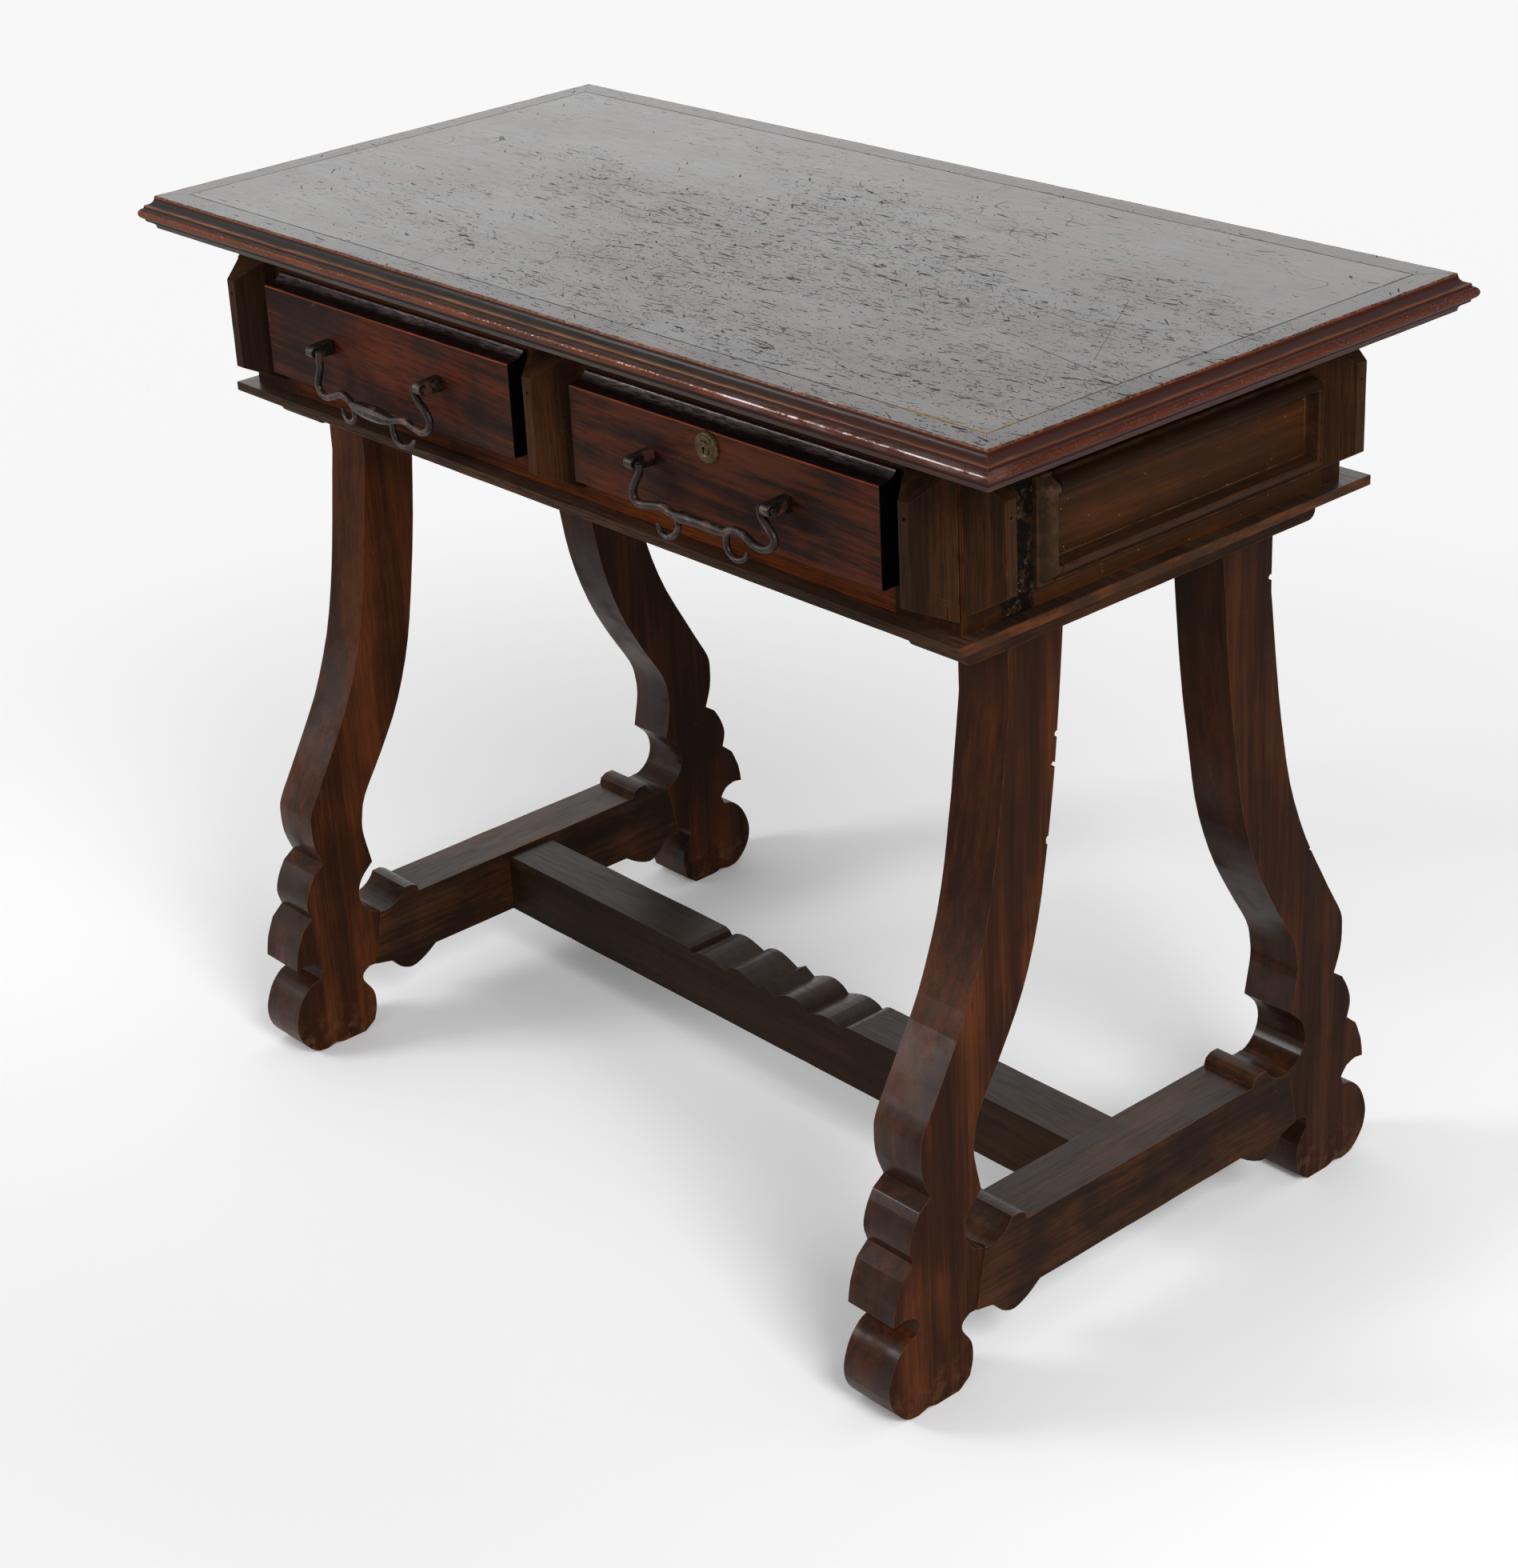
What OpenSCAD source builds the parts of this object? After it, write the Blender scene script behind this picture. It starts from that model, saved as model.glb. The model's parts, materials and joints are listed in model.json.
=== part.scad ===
// Writing desk on trestle ends: a moulded top, a shallow case with two drawers
// and bracket buttresses, scroll-sawn legs, end rails and one long stretcher.
// Millimetres. The origin is on the floor under the middle of the desk,
// +X runs to the right along the front, -Y is the drawer side, +Z is up.

/* [Top] */
// Width of the flat top between its arrises
top_w = 990; // [940:2:1060]
// Depth of the flat top between its arrises
top_d = 484; // [470:2:540]
// Thickness of the top
top_t = 28.5; // [28:1:36]
// Width of the mitred border inside the arris
border_w = 22; // [16:1:40]
// Radius of the hollow under the arris
edge_hollow_r = 7; // [5:0.5:9]
// Radius of the round nose of the edge
edge_nose_r = 4.6; // [3.5:0.1:5]
// Radius of the lower hollow of the edge
edge_under_r = 6.5; // [4:0.5:7]
// Distance of the board joint from the middle, towards the front
board_joint_y = 85; // [20:5:180]

/* [Case] */
// Width of the case
case_w = 855; // [840:1:880]
// Depth of the case
case_d = 401; // [396:1:440]
// Height of the case
case_h = 134; // [130:0.5:150]
// Thickness of the front frame and of the back board
frame_t = 22; // [20:1:26]
// Thickness of the side boards and of the partition
wall_t = 20; // [14:1:22]
// Height of the bottom rail of the front frame
bottom_rail_h = 28.5; // [24:0.5:32]
// Height of the top rail of the front frame
top_rail_h = 31.5; // [28:0.5:36]

/* [Base board] */
// Thickness of the base board
base_t = 8; // [6:1:14]
// Reach of the base board past the case sides
base_reach_x = 12.5; // [6:0.5:18]
// Reach of the base board past the case front
base_reach_front = 15.5; // [6:0.5:20]
// Reach of the base board past the case back
base_reach_back = 22; // [6:0.5:26]

/* [Brackets] */
// How far a bracket stands out from the wall
bracket_depth = 31; // [25:1:34]
// Width of a bracket's front edge
bracket_tip_w = 10; // [6:1:16]
// Half width of a bracket at the wall
bracket_foot = 25; // [18:1:27]
// Height of a front bracket's front edge
bracket_tip_h = 77; // [60:1:80]
// Height of a side bracket's front edge
side_tip_h = 70; // [60:1:74]
// Rise of the upper bevel from the front edge to the wall
bracket_rise = 20; // [10:1:22]
// Fall of a front bracket's lower bevel to the wall
bracket_fall = 14.5; // [8:0.5:18]
// Fall of a side bracket's lower bevel to the wall
side_fall = 18.5; // [8:0.5:22]
// Height of a front bracket's front edge above the foot of the case
bracket_tip_z = 24.5; // [20:0.5:26]
// Height of a side bracket's front edge above the foot of the case
side_tip_z = 32.5; // [24:0.5:34]
// Distance from a corner of the case to the middle of a front bracket
bracket_inset_x = 22; // [18:0.5:24]
// Distance from a corner of the case to the middle of a side bracket
bracket_inset_y = 17; // [14:0.5:18]
// Diameter of the bracket nails
nail_d = 3; // [2:0.5:4]
// Length of the bracket nails
nail_l = 42; // [38:1:48]

/* [Panel mouldings] */
// Width of the moulding round a panel
mould_w = 17; // [12:1:20]
// How far the moulding's crest stands out
mould_t = 11; // [6:1:14]
// Height of the moulding above the foot of the case
mould_z = 15; // [10:1:20]
// Height of the moulded frame
mould_h = 81.5; // [70:0.5:86]
// Distance of the frame's front end from the front of the case
mould_front = 70; // [50:1:90]

/* [Trestles] */
// Height of the legs
leg_h = 597; // [585:1:640]
// Thickness of the legs
leg_t = 49; // [40:1:52]
// Thickness of the end rails
rail_t = 51; // [40:1:54]
// Distance from the middle of the desk to the middle of a trestle
trestle_x = 389; // [370:1:400]
// Thickness of the bearer on the legs
bearer_t = 22.5; // [18:0.5:30]
// Width of the bearer
bearer_w = 54; // [50:1:60]
// Length of the bearer
bearer_l = 376; // [366:2:400]
// Rounding of the bearer's lower ends
bearer_r = 8; // [4:1:12]
// Thickness of the tenons
tenon_t = 14; // [10:1:18]
// Length of the tenons
tenon_l = 14; // [8:1:16]
// Width of the long stretcher
stretcher_w = 49; // [30:1:56]
// Height of the underside of the long stretcher
stretcher_z = 60; // [56:1:70]
// Depth of the long stretcher from its top to its underside
stretcher_h = 57; // [48:1:60]

/* [Drawers] */
// Distance from the middle of the desk to a drawer front
face_in = 37; // [32:0.5:44]
// Distance from a corner of the case to a drawer front
face_corner = 56; // [50:0.5:70]
// Height of the flat face of a drawer front
face_h = 76; // [70:0.5:78]
// How far the drawer front stands out from the frame
face_t = 19.5; // [14:0.5:22]
// Overlap of the drawer front on the frame at each side
lap = 8; // [5:0.5:10]
// Clearance between a drawer box and its opening
box_clear = 2; // [1:0.5:3]
// Thickness of the drawer sides and back
box_side_t = 11; // [8:1:14]
// Thickness of the drawer bottom
box_floor_t = 6; // [4:1:9]
// Space between the drawer box and the back board
box_back_gap = 29; // [10:1:80]

/* [Handles] */
// Distance between the two posts of a handle
post_span = 148; // [130:1:160]
// Height of the handle's pivot above the foot of the drawer front
pivot_h = 42; // [40:1:50]
// Distance from the drawer face to the handle's pivot
pivot_out = 18.5; // [18:0.5:26]
// Width of a post
post_w = 9; // [7:0.5:11]
// Height of a post at its eye
post_h = 10; // [9:0.5:13]
// Height of a post at the drawer front
post_root_h = 12.5; // [10:0.5:18]
// Diameter of the handle's pivot ends
pivot_d = 5; // [4:0.5:6]
// Radial clearance of a pivot end in its post
pivot_clear = 0.4; // [0.3:0.05:0.6]
// Thickness of the bent arms
arm_d = 6.4; // [5:0.2:8]
// Thickness of the left grip
grip_left_d = 13; // [8:0.2:14]
// Thickness of the right grip
grip_right_d = 9.6; // [8:0.2:12]
// Thickness of the hooks
hook_d = 5.4; // [4:0.2:6]

/* [Lock] */
// Distance from the middle of the desk to the keyhole
lock_x = 195; // [160:1:250]
// Height of the keyhole above the foot of the drawer front
lock_h = 64; // [58:0.5:64]
// Diameter of the rosette
rosette_d = 25; // [20:0.5:28]
// How far the rosette stands out
rosette_t = 4.5; // [3:0.5:6]
// Travel of the bolt
bolt_travel = 9; // [6:0.5:9]
// Width of the bolt
bolt_w = 22; // [14:1:28]
// Thickness of the bolt
bolt_t = 4; // [3:0.5:5]

/* [Hidden] */
$fn = 48;

wood = [0.24, 0.12, 0.08];
wood_top = [0.30, 0.24, 0.23];
wood_red = [0.34, 0.14, 0.08];
wood_plain = [0.45, 0.30, 0.20];
iron = [0.13, 0.11, 0.10];
brass = [0.45, 0.36, 0.18];

eps = 0.01;
fit = 0.05;
slide_gap = 0.3;
corner_gap = 2;

// Heights of the stack, from the floor up
bearer_z = leg_h;
base_z = bearer_z + bearer_t;
case_z = base_z + base_t;
top_z = case_z + case_h;
desk_h = top_z + top_t;

case_hw = case_w / 2;
case_hd = case_d / 2;
frame_back_y = -case_hd + frame_t;
back_front_y = case_hd - frame_t;
side_in_x = case_hw - wall_t;
face_w = case_hw - face_in - face_corner;
open_in_x = face_in + lap;
open_out_x = face_in + face_w - lap;
open_z = case_z + bottom_rail_h;
open_top_z = top_z - top_rail_h;

// Edge of the top: distance out from the arris, height below the top
edge_lip = 1;
edge_step = 0.4;
edge_fillet = 2.5;
edge_out = edge_hollow_r + edge_step + edge_nose_r;
nose_x = edge_hollow_r + edge_step;
nose_z = -(edge_lip + edge_hollow_r + edge_fillet + edge_nose_r);
nose_turn = 84;

function arc(cx, cy, r, a0, a1, n = 8) =
    [for (i = [0:n]) let (a = a0 + (a1 - a0) * i / n) [cx + r * cos(a), cy + r * sin(a)]];

// A smooth run through a few points, with n steps between each two of them
function spline_at(p, i, t) =
    let (a = p[max(i - 1, 0)], b = p[i], c = p[i + 1], d = p[min(i + 2, len(p) - 1)])
    0.5 * (2 * b + (c - a) * t + (2 * a - 5 * b + 4 * c - d) * t * t
    + (3 * b - a - 3 * c + d) * t * t * t);
function smooth(p, n = 3) =
    concat([for (i = [0:len(p) - 2], j = [0:n - 1]) spline_at(p, i, j / n)], [p[len(p) - 1]]);

// The same points in reverse order, mirrored in the middle plane
function flip(p) = [for (i = [len(p) - 1:-1:0]) [-p[i][0], p[i][1]]];

function edge_outline() = concat(
    [[-border_w, -top_t], [-border_w, 0], [0, 0]],
    arc(nose_x, -edge_lip, edge_hollow_r, 180, 270),
    arc(nose_x, nose_z, edge_nose_r, nose_turn, -nose_turn),
    arc(nose_x, -top_t, edge_under_r, 90, 180));

// An edge piece along +X on the -Y side of a top of the given size, mitred at its ends
module edge_piece(w, d) {
    in_x = w / 2 - border_w;
    in_y = -d / 2 + border_w;
    reach = border_w + edge_out + 1;
    intersection() {
        translate([0, -d / 2, desk_h]) rotate([90, 0, -90])
            linear_extrude(height = w + 2 * edge_out, center = true) polygon(edge_outline());
        translate([0, 0, top_z - 1]) linear_extrude(height = top_t + 2)
            polygon([[-in_x, in_y], [-in_x - reach, in_y - reach], [in_x + reach, in_y - reach],
                     [in_x, in_y]]);
    }
}

module edge_front() { color(wood) edge_piece(top_w, top_d); }
module edge_back() { color(wood) rotate([0, 0, 180]) edge_piece(top_w, top_d); }
module edge_right() { color(wood) rotate([0, 0, 90]) edge_piece(top_d, top_w); }
module edge_left() { color(wood) rotate([0, 0, -90]) edge_piece(top_d, top_w); }

module top_board(y0, y1) {
    color(wood_top) translate([-top_w / 2 + border_w, y0, top_z])
        cube([top_w - 2 * border_w, y1 - y0, top_t]);
}
module top_board_front() { top_board(-top_d / 2 + border_w, -board_joint_y); }
module top_board_back() { top_board(-board_joint_y, top_d / 2 - border_w); }

// Nails run straight back from the front edge of each bracket
front_bracket_x = case_hw - bracket_inset_x;
side_bracket_y = case_hd - bracket_inset_y;
nail_z = case_z + bracket_tip_z + bracket_tip_h - 12;
nail_sink = 3;
// Rods on the nails' lines, from the given distance below the brackets' front edges
module nail_rods(d, l, below) {
    for (s = [-1, 1]) {
        for (x = [-front_bracket_x, 0, front_bracket_x])
            translate([x, s * (case_hd + bracket_depth - below), nail_z])
                rotate([s * 90, 0, 0]) cylinder(d = d, h = l);
        for (y = [-side_bracket_y, side_bracket_y])
            translate([s * (case_hw + bracket_depth - below), y, nail_z])
                rotate([0, -s * 90, 0]) cylinder(d = d, h = l);
    }
}
module nail_holes() { nail_rods(nail_d + 2 * fit, nail_l + nail_sink + 1 + fit, -1); }
module bracket_nails() { color(iron) nail_rods(nail_d, nail_l, nail_sink); }

// Case
module side_board(s) {
    color(wood) difference() {
        translate([s > 0 ? side_in_x : -case_hw, frame_back_y, case_z])
            cube([wall_t, back_front_y - frame_back_y, case_h]);
        nail_holes();
    }
}
module side_board_left() { side_board(-1); }
module side_board_right() { side_board(1); }
module back_board() {
    color(wood) difference() {
        translate([-case_hw, back_front_y, case_z]) cube([case_w, frame_t, case_h]);
        nail_holes();
    }
}
module frame_bar(x0, x1, z0, z1) {
    translate([x0, -case_hd, z0]) cube([x1 - x0, frame_t, z1 - z0]);
}
module bottom_rail() { color(wood_red) frame_bar(-open_out_x, open_out_x, case_z, open_z); }
module stile(s) {
    color(wood) difference() {
        if (s > 0) frame_bar(open_out_x, case_hw, case_z, top_z);
        else frame_bar(-case_hw, -open_out_x, case_z, top_z);
        nail_holes();
    }
}
module stile_left() { stile(-1); }
module stile_right() { stile(1); }
module stile_centre() {
    color(wood) difference() {
        frame_bar(-open_in_x, open_in_x, open_z, open_top_z);
        nail_holes();
    }
}
module partition() {
    color(wood_plain) translate([-wall_t / 2, frame_back_y, case_z])
        cube([wall_t, back_front_y - frame_back_y, case_h]);
}

// Strips inside the case, from the front frame to the back board
runner_w = 15;
guide_h = 16;
module inner_strips(z0, h, over) {
    color(wood_plain) for (s = [-1, 1], inner = [0, 1]) {
        x0 = inner ? wall_t / 2 : open_out_x - over;
        x1 = inner ? open_in_x + over : side_in_x;
        translate([s > 0 ? x0 : -x1, frame_back_y, z0])
            cube([x1 - x0, back_front_y - frame_back_y, h]);
    }
}
module drawer_runners() { inner_strips(case_z, bottom_rail_h, runner_w); }
module drawer_guides() { inner_strips(open_z, guide_h, 0); }
module drawer_kickers() { inner_strips(open_top_z, top_rail_h, runner_w); }

module base_board(y0, y1) {
    color(wood) translate([-case_hw - base_reach_x, y0, base_z])
        cube([case_w + 2 * base_reach_x, y1 - y0, base_t]);
}
module base_board_front() { base_board(-case_hd - base_reach_front, 0); }
module base_board_back() { base_board(0, case_hd + base_reach_back); }

// A bracket stands out along -Y from a wall at y = 0, centred on x = 0. Its front edge
// begins at z_tip and is tip_h high, and its foot reaches left and right on the wall.
module bracket(left, right, z_tip, tip_h, fall) {
    plan = [[-left, 0], [-bracket_tip_w / 2, -bracket_depth],
            [bracket_tip_w / 2, -bracket_depth], [right, 0]];
    side = [[0, z_tip + tip_h + bracket_rise], [bracket_depth, z_tip + tip_h],
            [bracket_depth, z_tip], [0, z_tip - fall]];
    intersection() {
        translate([0, 0, case_z]) linear_extrude(height = case_h) polygon(plan);
        rotate([90, 0, -90]) linear_extrude(height = 4 * bracket_foot, center = true) polygon(side);
    }
}
module front_bracket(turn, x, left, right) {
    color(wood) difference() {
        rotate([0, 0, turn]) translate([x, -case_hd, 0])
            bracket(left, right, case_z + bracket_tip_z, bracket_tip_h, bracket_fall);
        nail_holes();
    }
}
side_corner_foot = bracket_inset_y - corner_gap;
module side_bracket(s, y) {
    near = s * y > 0 ? side_corner_foot : bracket_foot;
    far = s * y > 0 ? bracket_foot : side_corner_foot;
    color(wood) difference() {
        rotate([0, 0, s * 90]) translate([s * y, -case_hw, 0])
            bracket(far, near, case_z + side_tip_z, side_tip_h, side_fall);
        nail_holes();
    }
}
corner_foot = bracket_inset_x - corner_gap;
module bracket_front_left() { front_bracket(0, -front_bracket_x, corner_foot, bracket_foot); }
module bracket_front_centre() { front_bracket(0, 0, bracket_foot, bracket_foot); }
module bracket_front_right() { front_bracket(0, front_bracket_x, bracket_foot, corner_foot); }
module bracket_back_left() { front_bracket(180, front_bracket_x, bracket_foot, corner_foot); }
module bracket_back_centre() { front_bracket(180, 0, bracket_foot, bracket_foot); }
module bracket_back_right() { front_bracket(180, -front_bracket_x, corner_foot, bracket_foot); }
module bracket_side_front_left() { side_bracket(-1, -side_bracket_y); }
module bracket_side_front_right() { side_bracket(1, -side_bracket_y); }
module bracket_side_back_left() { side_bracket(-1, side_bracket_y); }
module bracket_side_back_right() { side_bracket(1, side_bracket_y); }

// Moulding round a panel: distance in from its outer edge, height off the wall
function mould_outline() = concat(
    [[0, 0], [0, 3.5], [1.2, 4.5], [2.6, 3.6], [3.2, 2.8]],
    arc(mould_w - 4, mould_t - 8.2, mould_w - 8, 165, 92, 6),
    [[mould_w - 3, mould_t], [mould_w - 1.5, 2], [mould_w, 0]]);
module mould_strip(l) {
    reach = mould_w + 1;
    end = l / 2 - fit;
    intersection() {
        rotate([90, 0, 90]) linear_extrude(height = l, center = true) polygon(mould_outline());
        translate([0, 0, -1]) linear_extrude(height = mould_t + 4)
            polygon([[-end, 0], [end, 0], [end - reach, reach], [-end + reach, reach]]);
    }
}
// Four mitred strips round w by h, flat on z = 0, the lower left corner at the origin
module mould_frame(w, h) {
    translate([w / 2, 0, 0]) mould_strip(w);
    translate([w / 2, h, 0]) rotate([0, 0, 180]) mould_strip(w);
    translate([0, h / 2, 0]) rotate([0, 0, -90]) mould_strip(h);
    translate([w, h / 2, 0]) rotate([0, 0, 90]) mould_strip(h);
}
mould_back = bracket_inset_y + bracket_tip_w / 2 + 4;
module side_moulding(s) {
    l = case_d - mould_front - mould_back;
    color(wood) difference() {
        mirror([s > 0 ? 0 : 1, 0, 0])
            translate([case_hw, -case_hd + mould_front, case_z + mould_z])
                rotate([90, 0, 90]) mould_frame(l, mould_h);
        side_bracket(s, side_bracket_y);
        nail_holes();
    }
}
module side_moulding_left() { side_moulding(-1); }
module side_moulding_right() { side_moulding(1); }
back_mould_gap = 14;
module back_moulding() {
    x0 = bracket_foot + back_mould_gap;
    x1 = front_bracket_x - bracket_foot - back_mould_gap;
    color(wood) for (x = [-x1, x0])
        translate([x + (x1 - x0), case_hd, case_z + mould_z])
            rotate([90, 0, 180]) mould_frame(x1 - x0, mould_h);
}

// Sawn outline of a leg, front to back and up from the floor. Each run is smooth
// and the runs meet in sharp cusps.
joint_top = [176.5, 116];
joint_foot = [187, 64.5];
scoop = [171, 141];
scoop_r = 26;
function leg_outer() = concat(
    [[142, leg_h]],
    smooth([[142, 550], [149, 495], [157, 440], [169.8, 380], [190.5, 325], [222, 268],
            [238, 240], [240.5, 225], [239, 205], [232, 185.5]]),
    smooth([[243, 178], [250.5, 165], [254.5, 150], [251, 136]]),
    smooth([[262.5, 126], [270.2, 108], [273, 90.5]], 2));
function leg_foot() = concat(
    smooth([[263.5, 92], [252.5, 89], [245.7, 80.8]], 2),
    smooth([[249, 73], [260, 70], [270, 60.8], [276.8, 48], [280, 33], [276, 17], [263, 3],
            [250, 0]]),
    [[239.5, 2.6], [231, 0], [206.5, 0]],
    smooth([[195, 8], [191.3, 22], [192.5, 38], [201.7, 52.5], [201.2, 60], [194, 64.8]]));
function leg_inner() = concat(
    arc(scoop[0], scoop[1], scoop_r, -78, 48, 10),
    [[179, 169]],
    smooth([[183.5, 190], [185.5, 203], [184.5, 217], [179, 237], [155.5, 275], [132, 319],
            [114.5, 372], [104, 431], [96, 487], [90.5, 541], [86, leg_h]]));
module leg_shape() {
    polygon(concat(leg_outer(), leg_foot(), [joint_foot, joint_top], leg_inner()));
}

module in_trestle(s, t) {
    translate([s * trestle_x, 0, 0]) rotate([90, 0, 90]) linear_extrude(height = t, center = true)
        children();
}
rail_tenon = [[150, 76], [200, 76], [200, 104], [150, 104]];
leg_tenon_w = 30;
leg_tenon_y = 114;
module leg_tenon(s, f) {
    translate([s * trestle_x - tenon_t / 2, f * leg_tenon_y - leg_tenon_w / 2, bearer_z - eps])
        cube([tenon_t, leg_tenon_w, tenon_l + eps]);
}
module leg(s, f) {
    color(wood) difference() {
        union() {
            in_trestle(s, leg_t) mirror([f > 0 ? 0 : 1, 0]) leg_shape();
            leg_tenon(s, f);
        }
        in_trestle(s, tenon_t) mirror([f > 0 ? 0 : 1, 0]) polygon(rail_tenon);
    }
}
module leg_front_left() { leg(-1, -1); }
module leg_front_right() { leg(1, -1); }
module leg_back_left() { leg(-1, 1); }
module leg_back_right() { leg(1, 1); }

// End rail: a raised lip and a hollow at each end, a small lobe underneath
rail_top = 121;
rail_half = concat(
    [[131, rail_top], [133, 127], [139, 130]],
    arc(scoop[0], scoop[1], scoop_r, 205, 282, 8),
    [joint_top, joint_foot, [177, 62.5]],
    smooth([[168, 60.3], [160, 51], [147, 46], [132, 51], [118, 60]]));
module end_rail_shape() { polygon(concat(rail_half, flip(rail_half))); }
stretcher_x = trestle_x - rail_t / 2;
stretcher_tenon_w = 24;
stretcher_tenon_h = 34;
module stretcher_tenon(s) {
    translate([s > 0 ? stretcher_x - eps : -stretcher_x - tenon_l,
               -stretcher_tenon_w / 2, stretcher_z + (stretcher_h - stretcher_tenon_h) / 2])
        cube([tenon_l + eps, stretcher_tenon_w, stretcher_tenon_h]);
}
module end_rail(s) {
    color(wood) difference() {
        union() {
            in_trestle(s, rail_t) end_rail_shape();
            for (m = [0, 1]) mirror([0, m, 0]) in_trestle(s, tenon_t) polygon(rail_tenon);
        }
        stretcher_tenon(s);
    }
}
module end_rail_left() { end_rail(-1); }
module end_rail_right() { end_rail(1); }

module bearer(s) {
    h = bearer_l / 2;
    color(wood) difference() {
        in_trestle(s, bearer_w) polygon(concat(
            [[h, base_z]], arc(h - bearer_r, bearer_z + bearer_r, bearer_r, 0, -90),
            arc(-h + bearer_r, bearer_z + bearer_r, bearer_r, -90, -180), [[-h, base_z]]));
        for (f = [-1, 1]) translate([0, 0, -eps]) leg_tenon(s, f);
    }
}
module bearer_left() { bearer(-1); }
module bearer_right() { bearer(1); }

// Long stretcher: straight ends, then scallops towards the middle
scallop_end = 98;
scallop_cut = 6;
scallop_step = 43.5;
stretcher_top = stretcher_z + stretcher_h;
cusp_z = stretcher_top - scallop_cut;
function scallop(x0, x1, rise) = [for (i = [1:7]) let (u = i / 8)
    [x0 + (x1 - x0) * u, cusp_z + (scallop_cut + rise) * sin(180 * pow(u, 0.8))]];
cusp_1 = scallop_end - scallop_step;
cusp_2 = scallop_end - 2 * scallop_step;
stretcher_half = concat(
    [[stretcher_x, stretcher_z], [stretcher_x, stretcher_top],
     [scallop_end + 8, stretcher_top], [scallop_end + 3, stretcher_top - 2],
     [scallop_end, cusp_z]],
    scallop(scallop_end, cusp_1, 0), [[cusp_1, cusp_z]],
    scallop(cusp_1, cusp_2, 2), [[cusp_2, cusp_z]]);
module stretcher() {
    all = concat(stretcher_half, [[0, stretcher_top]], flip(stretcher_half));
    color(wood) union() {
        rotate([90, 0, 0]) linear_extrude(height = stretcher_w, center = true) polygon(all);
        for (s = [-1, 1]) stretcher_tenon(s);
    }
}

// Drawers. The moulded front laps over the frame and the box runs inside it.
face_x = face_in + face_w / 2;
face_z = open_z - 4;
// Crown above the face: distance in from the face, height above it
crown = [[0.5, 0.6], [4.5, 1.1], [8.5, 2], [11.5, 3.2], [13.9, 4.8], [15.4, 6.3],
         [16.2, 7.8], [17, 8.3]];
function front_outline() = concat(
    [[0, face_z], [face_t, face_z], [face_t, face_z + face_h]],
    [for (c = crown) [face_t - c[0], face_z + face_h + c[1]]],
    [[0, face_z + face_h + crown[len(crown) - 1][1]]]);
box_out = open_out_x - box_clear;
box_in = open_in_x + box_clear;
box_z = open_z + slide_gap;
box_h = open_top_z - open_z - slide_gap - box_clear;
box_l = case_d - frame_t - box_back_gap;
groove = 4;
floor_lift = 5;
post_hole_d = 6;
module at_drawer(s) { translate([s * face_x, 0, 0]) children(); }
module at_posts(s) {
    at_drawer(s) for (p = [-1, 1])
        translate([p * post_span / 2, -case_hd - face_t, face_z + pivot_h]) children();
}
barrel_d = 9;
module drawer_front(s) {
    color(wood_red) difference() {
        at_drawer(s) translate([0, -case_hd, 0]) rotate([90, 0, -90])
            linear_extrude(height = face_w, center = true) polygon(front_outline());
        at_posts(s) rotate([-90, 0, 0]) translate([0, 0, -1])
            cylinder(d = post_hole_d + 2 * fit, h = face_t + 2);
        if (s > 0) lock_barrel(barrel_d / 2 + fit, 1);
    }
}
module drawer_sides(s) {
    color(wood_plain) at_drawer(s) for (x = [-1, 1])
        translate([x > 0 ? box_out - face_x - box_side_t : box_in - face_x, -case_hd, box_z])
            difference() {
                cube([box_side_t, box_l, box_h]);
                translate([-1, -1, floor_lift]) translate([x > 0 ? 0 : box_side_t - groove, 0, 0])
                    cube([groove + 1, box_l + 2, box_floor_t]);
            }
}
module drawer_back(s) {
    color(wood_plain) translate([s > 0 ? box_in + box_side_t : -box_out + box_side_t,
        -case_hd + box_l - box_side_t, box_z + floor_lift + box_floor_t])
        cube([box_out - box_in - 2 * box_side_t, box_side_t, box_h - floor_lift - box_floor_t]);
}
module drawer_bottom(s) {
    w = box_out - box_in - 2 * box_side_t + 2 * groove;
    x = s > 0 ? box_in : -box_out;
    color(wood_plain) translate([x + box_side_t - groove, -case_hd, box_z + floor_lift])
        cube([w, box_l, box_floor_t]);
}
module drawer_left_front() { drawer_front(-1); }
module drawer_left_sides() { drawer_sides(-1); }
module drawer_left_back() { drawer_back(-1); }
module drawer_left_bottom() { drawer_bottom(-1); }
module drawer_right_front() { drawer_front(1); }
module drawer_right_sides() { drawer_sides(1); }
module drawer_right_back() { drawer_back(1); }
module drawer_right_bottom() { drawer_bottom(1); }

// Iron posts: a flat eye outside, a shank through the drawer front, clinched inside
clinch = [5, 1.6, 15];
module post() {
    difference() {
        union() {
            rotate([90, 0, 90]) linear_extrude(height = post_w, center = true)
                union() {
                    polygon([[-pivot_out, -post_h / 2], [0, -post_root_h / 2],
                             [0, post_root_h / 2], [-pivot_out, post_h / 2]]);
                    translate([-pivot_out, 0]) circle(d = post_h);
                }
            rotate([-90, 0, 0]) cylinder(d = post_hole_d, h = face_t + clinch[1]);
            translate([-clinch[0] / 2, face_t, -clinch[2] / 2]) cube(clinch);
        }
        translate([0, -pivot_out, 0]) rotate([0, 90, 0])
            cylinder(d = pivot_d + 2 * pivot_clear, h = post_w + 2, center = true);
    }
}
module handle_posts_left() { color(iron) at_posts(-1) post(); }
module handle_posts_right() { color(iron) at_posts(1) post(); }

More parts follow.
